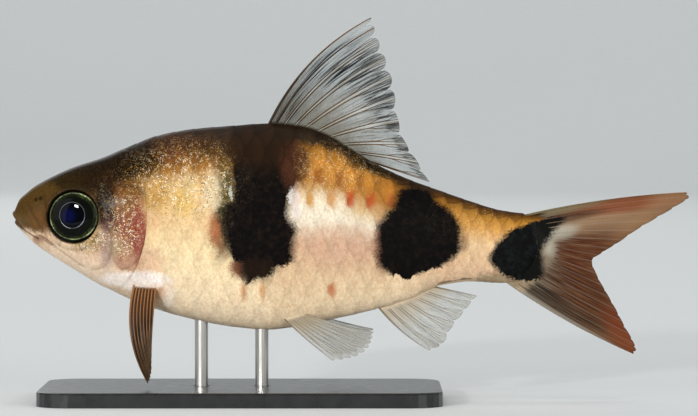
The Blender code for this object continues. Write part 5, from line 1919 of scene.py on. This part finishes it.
film_paint = {kind: film_material(kind) for kind in FIN_TINTS}
ray_paint = {kind: ray_material(kind) for kind in FIN_TINTS}
for name, kind in FIN_KIND.items():
    paint_with(films[name], film_paint[kind])
    paint_with(rays[name], ray_paint[kind])

# Soft pinkish resin, as the feelers have no scales
barbel_paint = cloudy_material(
    "tinted resin feeler", {"Roughness": 0.4, "Coat Weight": 0.3},
    (1, 1, 1), 0.4 * MM, 2.0, ("7A5842", "A98568"),
)
for piece in barbels.values():
    paint_with(piece, barbel_paint)
print("tints of fin:", *FIN_TINTS)

# %% [markdown]
# ## The stand
#
# A museum stands such a model on a plain black plate with thin rods. The plate is acrylic,
# sawn and flame-polished, so its even gloss is broken by fine rub marks. The rods are drawn
# steel, and the fine lines along their length come from a noise that is drawn out the same
# way. Both keep the shapes of their solids.

# %% Acrylic plate and steel rods
STAND_FINISH = {
    "stand_base": cloudy_material(
        "black acrylic", {"Coat Weight": 0.2, "Coat Roughness": 0.2},
        (1, 6, 1), 2.0 * MM, 4.0, ("0E0E0F", "1A1A1C"), {1: 0.3, 2: 0.7, 3: 0.22, 4: 0.40},
    ),
    "stand_rod": cloudy_material(
        "drawn steel", {"Metallic": 1.0},
        (1, 1, 0.03), 0.08 * MM, 2.0, ("A9A7A2", "C9C7C2"), {3: 0.22, 4: 0.42},
    ),
}
for name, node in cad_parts.items():
    for start, finish in STAND_FINISH.items():
        if name.startswith(start):
            paint_with(node, finish)
            print(name, "is", finish.name)

# %% [markdown]
# ## Studio
#
# The photograph is a level view from the fish's left. A long lens at a normal distance keeps
# its flat look. A pale floor that curves up behind gives no horizon line. One small light draws
# the highlight in the eye, and large soft lights round it leave the glints of the glitter to
# painted grains.

# %% Floor, lights and camera
PHOTO_WIDTH = 104.7 * MM  # what the frame spans at the fish
DISTANCE = 0.6
ELEVATION = math.radians(1.5)
AIM = (-0.46 * MM, 0.0, 28.9 * MM)
SENSOR = 36.0
# The floor's front edge and half width, where it starts to bend up, by which radius, and the
# top of the wall, in metres
FLOOR_FRONT, FLOOR_SIDE, BEND_FROM, BEND, WALL_TOP = -3.0, 4.0, 1.4, 0.5, 2.4
# Name, place, size, power and aim of each soft light
LIGHTS = (
    ("key", (-0.50, -1.00, 0.26), 0.07, 5.6, AIM),
    ("fill", (1.00, -1.10, 0.30), 0.9, 8.0, AIM),
    ("wide", (-1.10, -0.90, 0.35), 0.9, 4.5, AIM),
    ("top", (0.0, -0.20, 1.2), 0.7, 2.5, AIM),
    ("behind", (-0.50, 1.10, 0.60), 0.8, 2.0, AIM),
    ("wall", (0.0, 0.60, 1.9), 1.2, 10.0, (0.0, 1.9, 0.4)),
)


def studio_floor():
    """A floor that curves up far behind the fish into a wall."""
    profile = [(FLOOR_FRONT, 0.0)]
    for angle in np.linspace(0, math.pi / 2, 25):
        profile.append((BEND_FROM + BEND * math.sin(angle), BEND * (1 - math.cos(angle))))
    profile.append((BEND_FROM + BEND, WALL_TOP))
    points = [(x, y, z) for y, z in profile for x in (-FLOOR_SIDE, FLOOR_SIDE)]
    faces = [(2 * i, 2 * i + 1, 2 * i + 3, 2 * i + 2) for i in range(len(profile) - 1)]
    floor = made_object("studio_floor", points, faces)
    codes = ("DFE2E1", "E4E6E5")
    paper = cloudy_material("matt paper", {"Roughness": 0.9}, (1, 1, 1), 2.5 * MM, 3.0, codes)
    paint_with(floor, paper)
    return floor


def soft_light(name, place, size, power, aim):
    """A square soft light that faces its aim and stays out of sight itself."""
    lamp = bpy.data.lights.new(name, "AREA")
    lamp.size, lamp.energy = size, power
    made = bpy.data.objects.new(name, lamp)
    made.location = place
    made.rotation_euler = (Vector(aim) - Vector(place)).to_track_quat("-Z", "Y").to_euler()
    made.visible_camera = False
    bpy.context.scene.collection.objects.link(made)


studio_floor()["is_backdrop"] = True
for light in LIGHTS:
    soft_light(*light)
world = bpy.data.worlds.new("soft room")
world.use_nodes = True
room = {"Color": colour("D8DCE0"), "Strength": 0.42}
feed(world.node_tree, world.node_tree.nodes["Background"], room)
bpy.context.scene.world = world
bpy.context.scene.view_settings.view_transform = "Standard"

lens = bpy.data.cameras.new("camera")
lens.sensor_width = SENSOR
lens.lens = SENSOR * DISTANCE / PHOTO_WIDTH
lens.clip_start = 0.01
camera = bpy.data.objects.new("camera", lens)
camera.location = Vector(AIM) + DISTANCE * Vector((0, -math.cos(ELEVATION), math.sin(ELEVATION)))
camera.rotation_euler = (math.pi / 2 - ELEVATION, 0, 0)
bpy.context.scene.collection.objects.link(camera)
bpy.context.scene.camera = camera
print("lens:", round(lens.lens, 1), "mm")

# %% [markdown]
# ## Hand the pieces over
#
# Each piece hides the solids that it stands for. Nothing moves, so all of them ride on the one
# body. The boxes of the solids and of the dressed fish are kept to compare.

# %% What each piece stands for
FLESH = ("head", "trunk", "tail", "gill_cover_left", "gill_cover_right")
FIN_SLOTS = {"clear": "clear_fin", "pale": "clear_fin", "red": "red_fin", "brown": "brown_fin"}


def hand_over(piece, slot, *nodes):
    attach(piece, "root")
    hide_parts(*nodes)


print("nodes:", sorted(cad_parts))
hand_over(skin_piece, "head_skin", *FLESH)
hand_over(scales_piece, "flank_skin", "trunk", "tail")
for side in ("left", "right"):
    hand_over(eyes[side], "eye", f"eye_{side}")
    hand_over(barbels[side], "head_skin", f"barbel_{side}")
for name, kind in FIN_KIND.items():
    nodes = ("tail_fin_upper", "tail_fin_lower") if name == "tail_fin" else (name,)
    for piece in (films[name], rays[name]):
        hand_over(piece, FIN_SLOTS[kind], *nodes)

# %% Keep the sizes and finish
bpy.context.view_layer.update()
boxes = {"solid": solid_box, "dressed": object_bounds()}
{key: [list(corner) for corner in box] for key, box in boxes.items()}
for key, box in boxes.items():
    print(key, [[round(v / MM, 2) for v in corner] for corner in box])
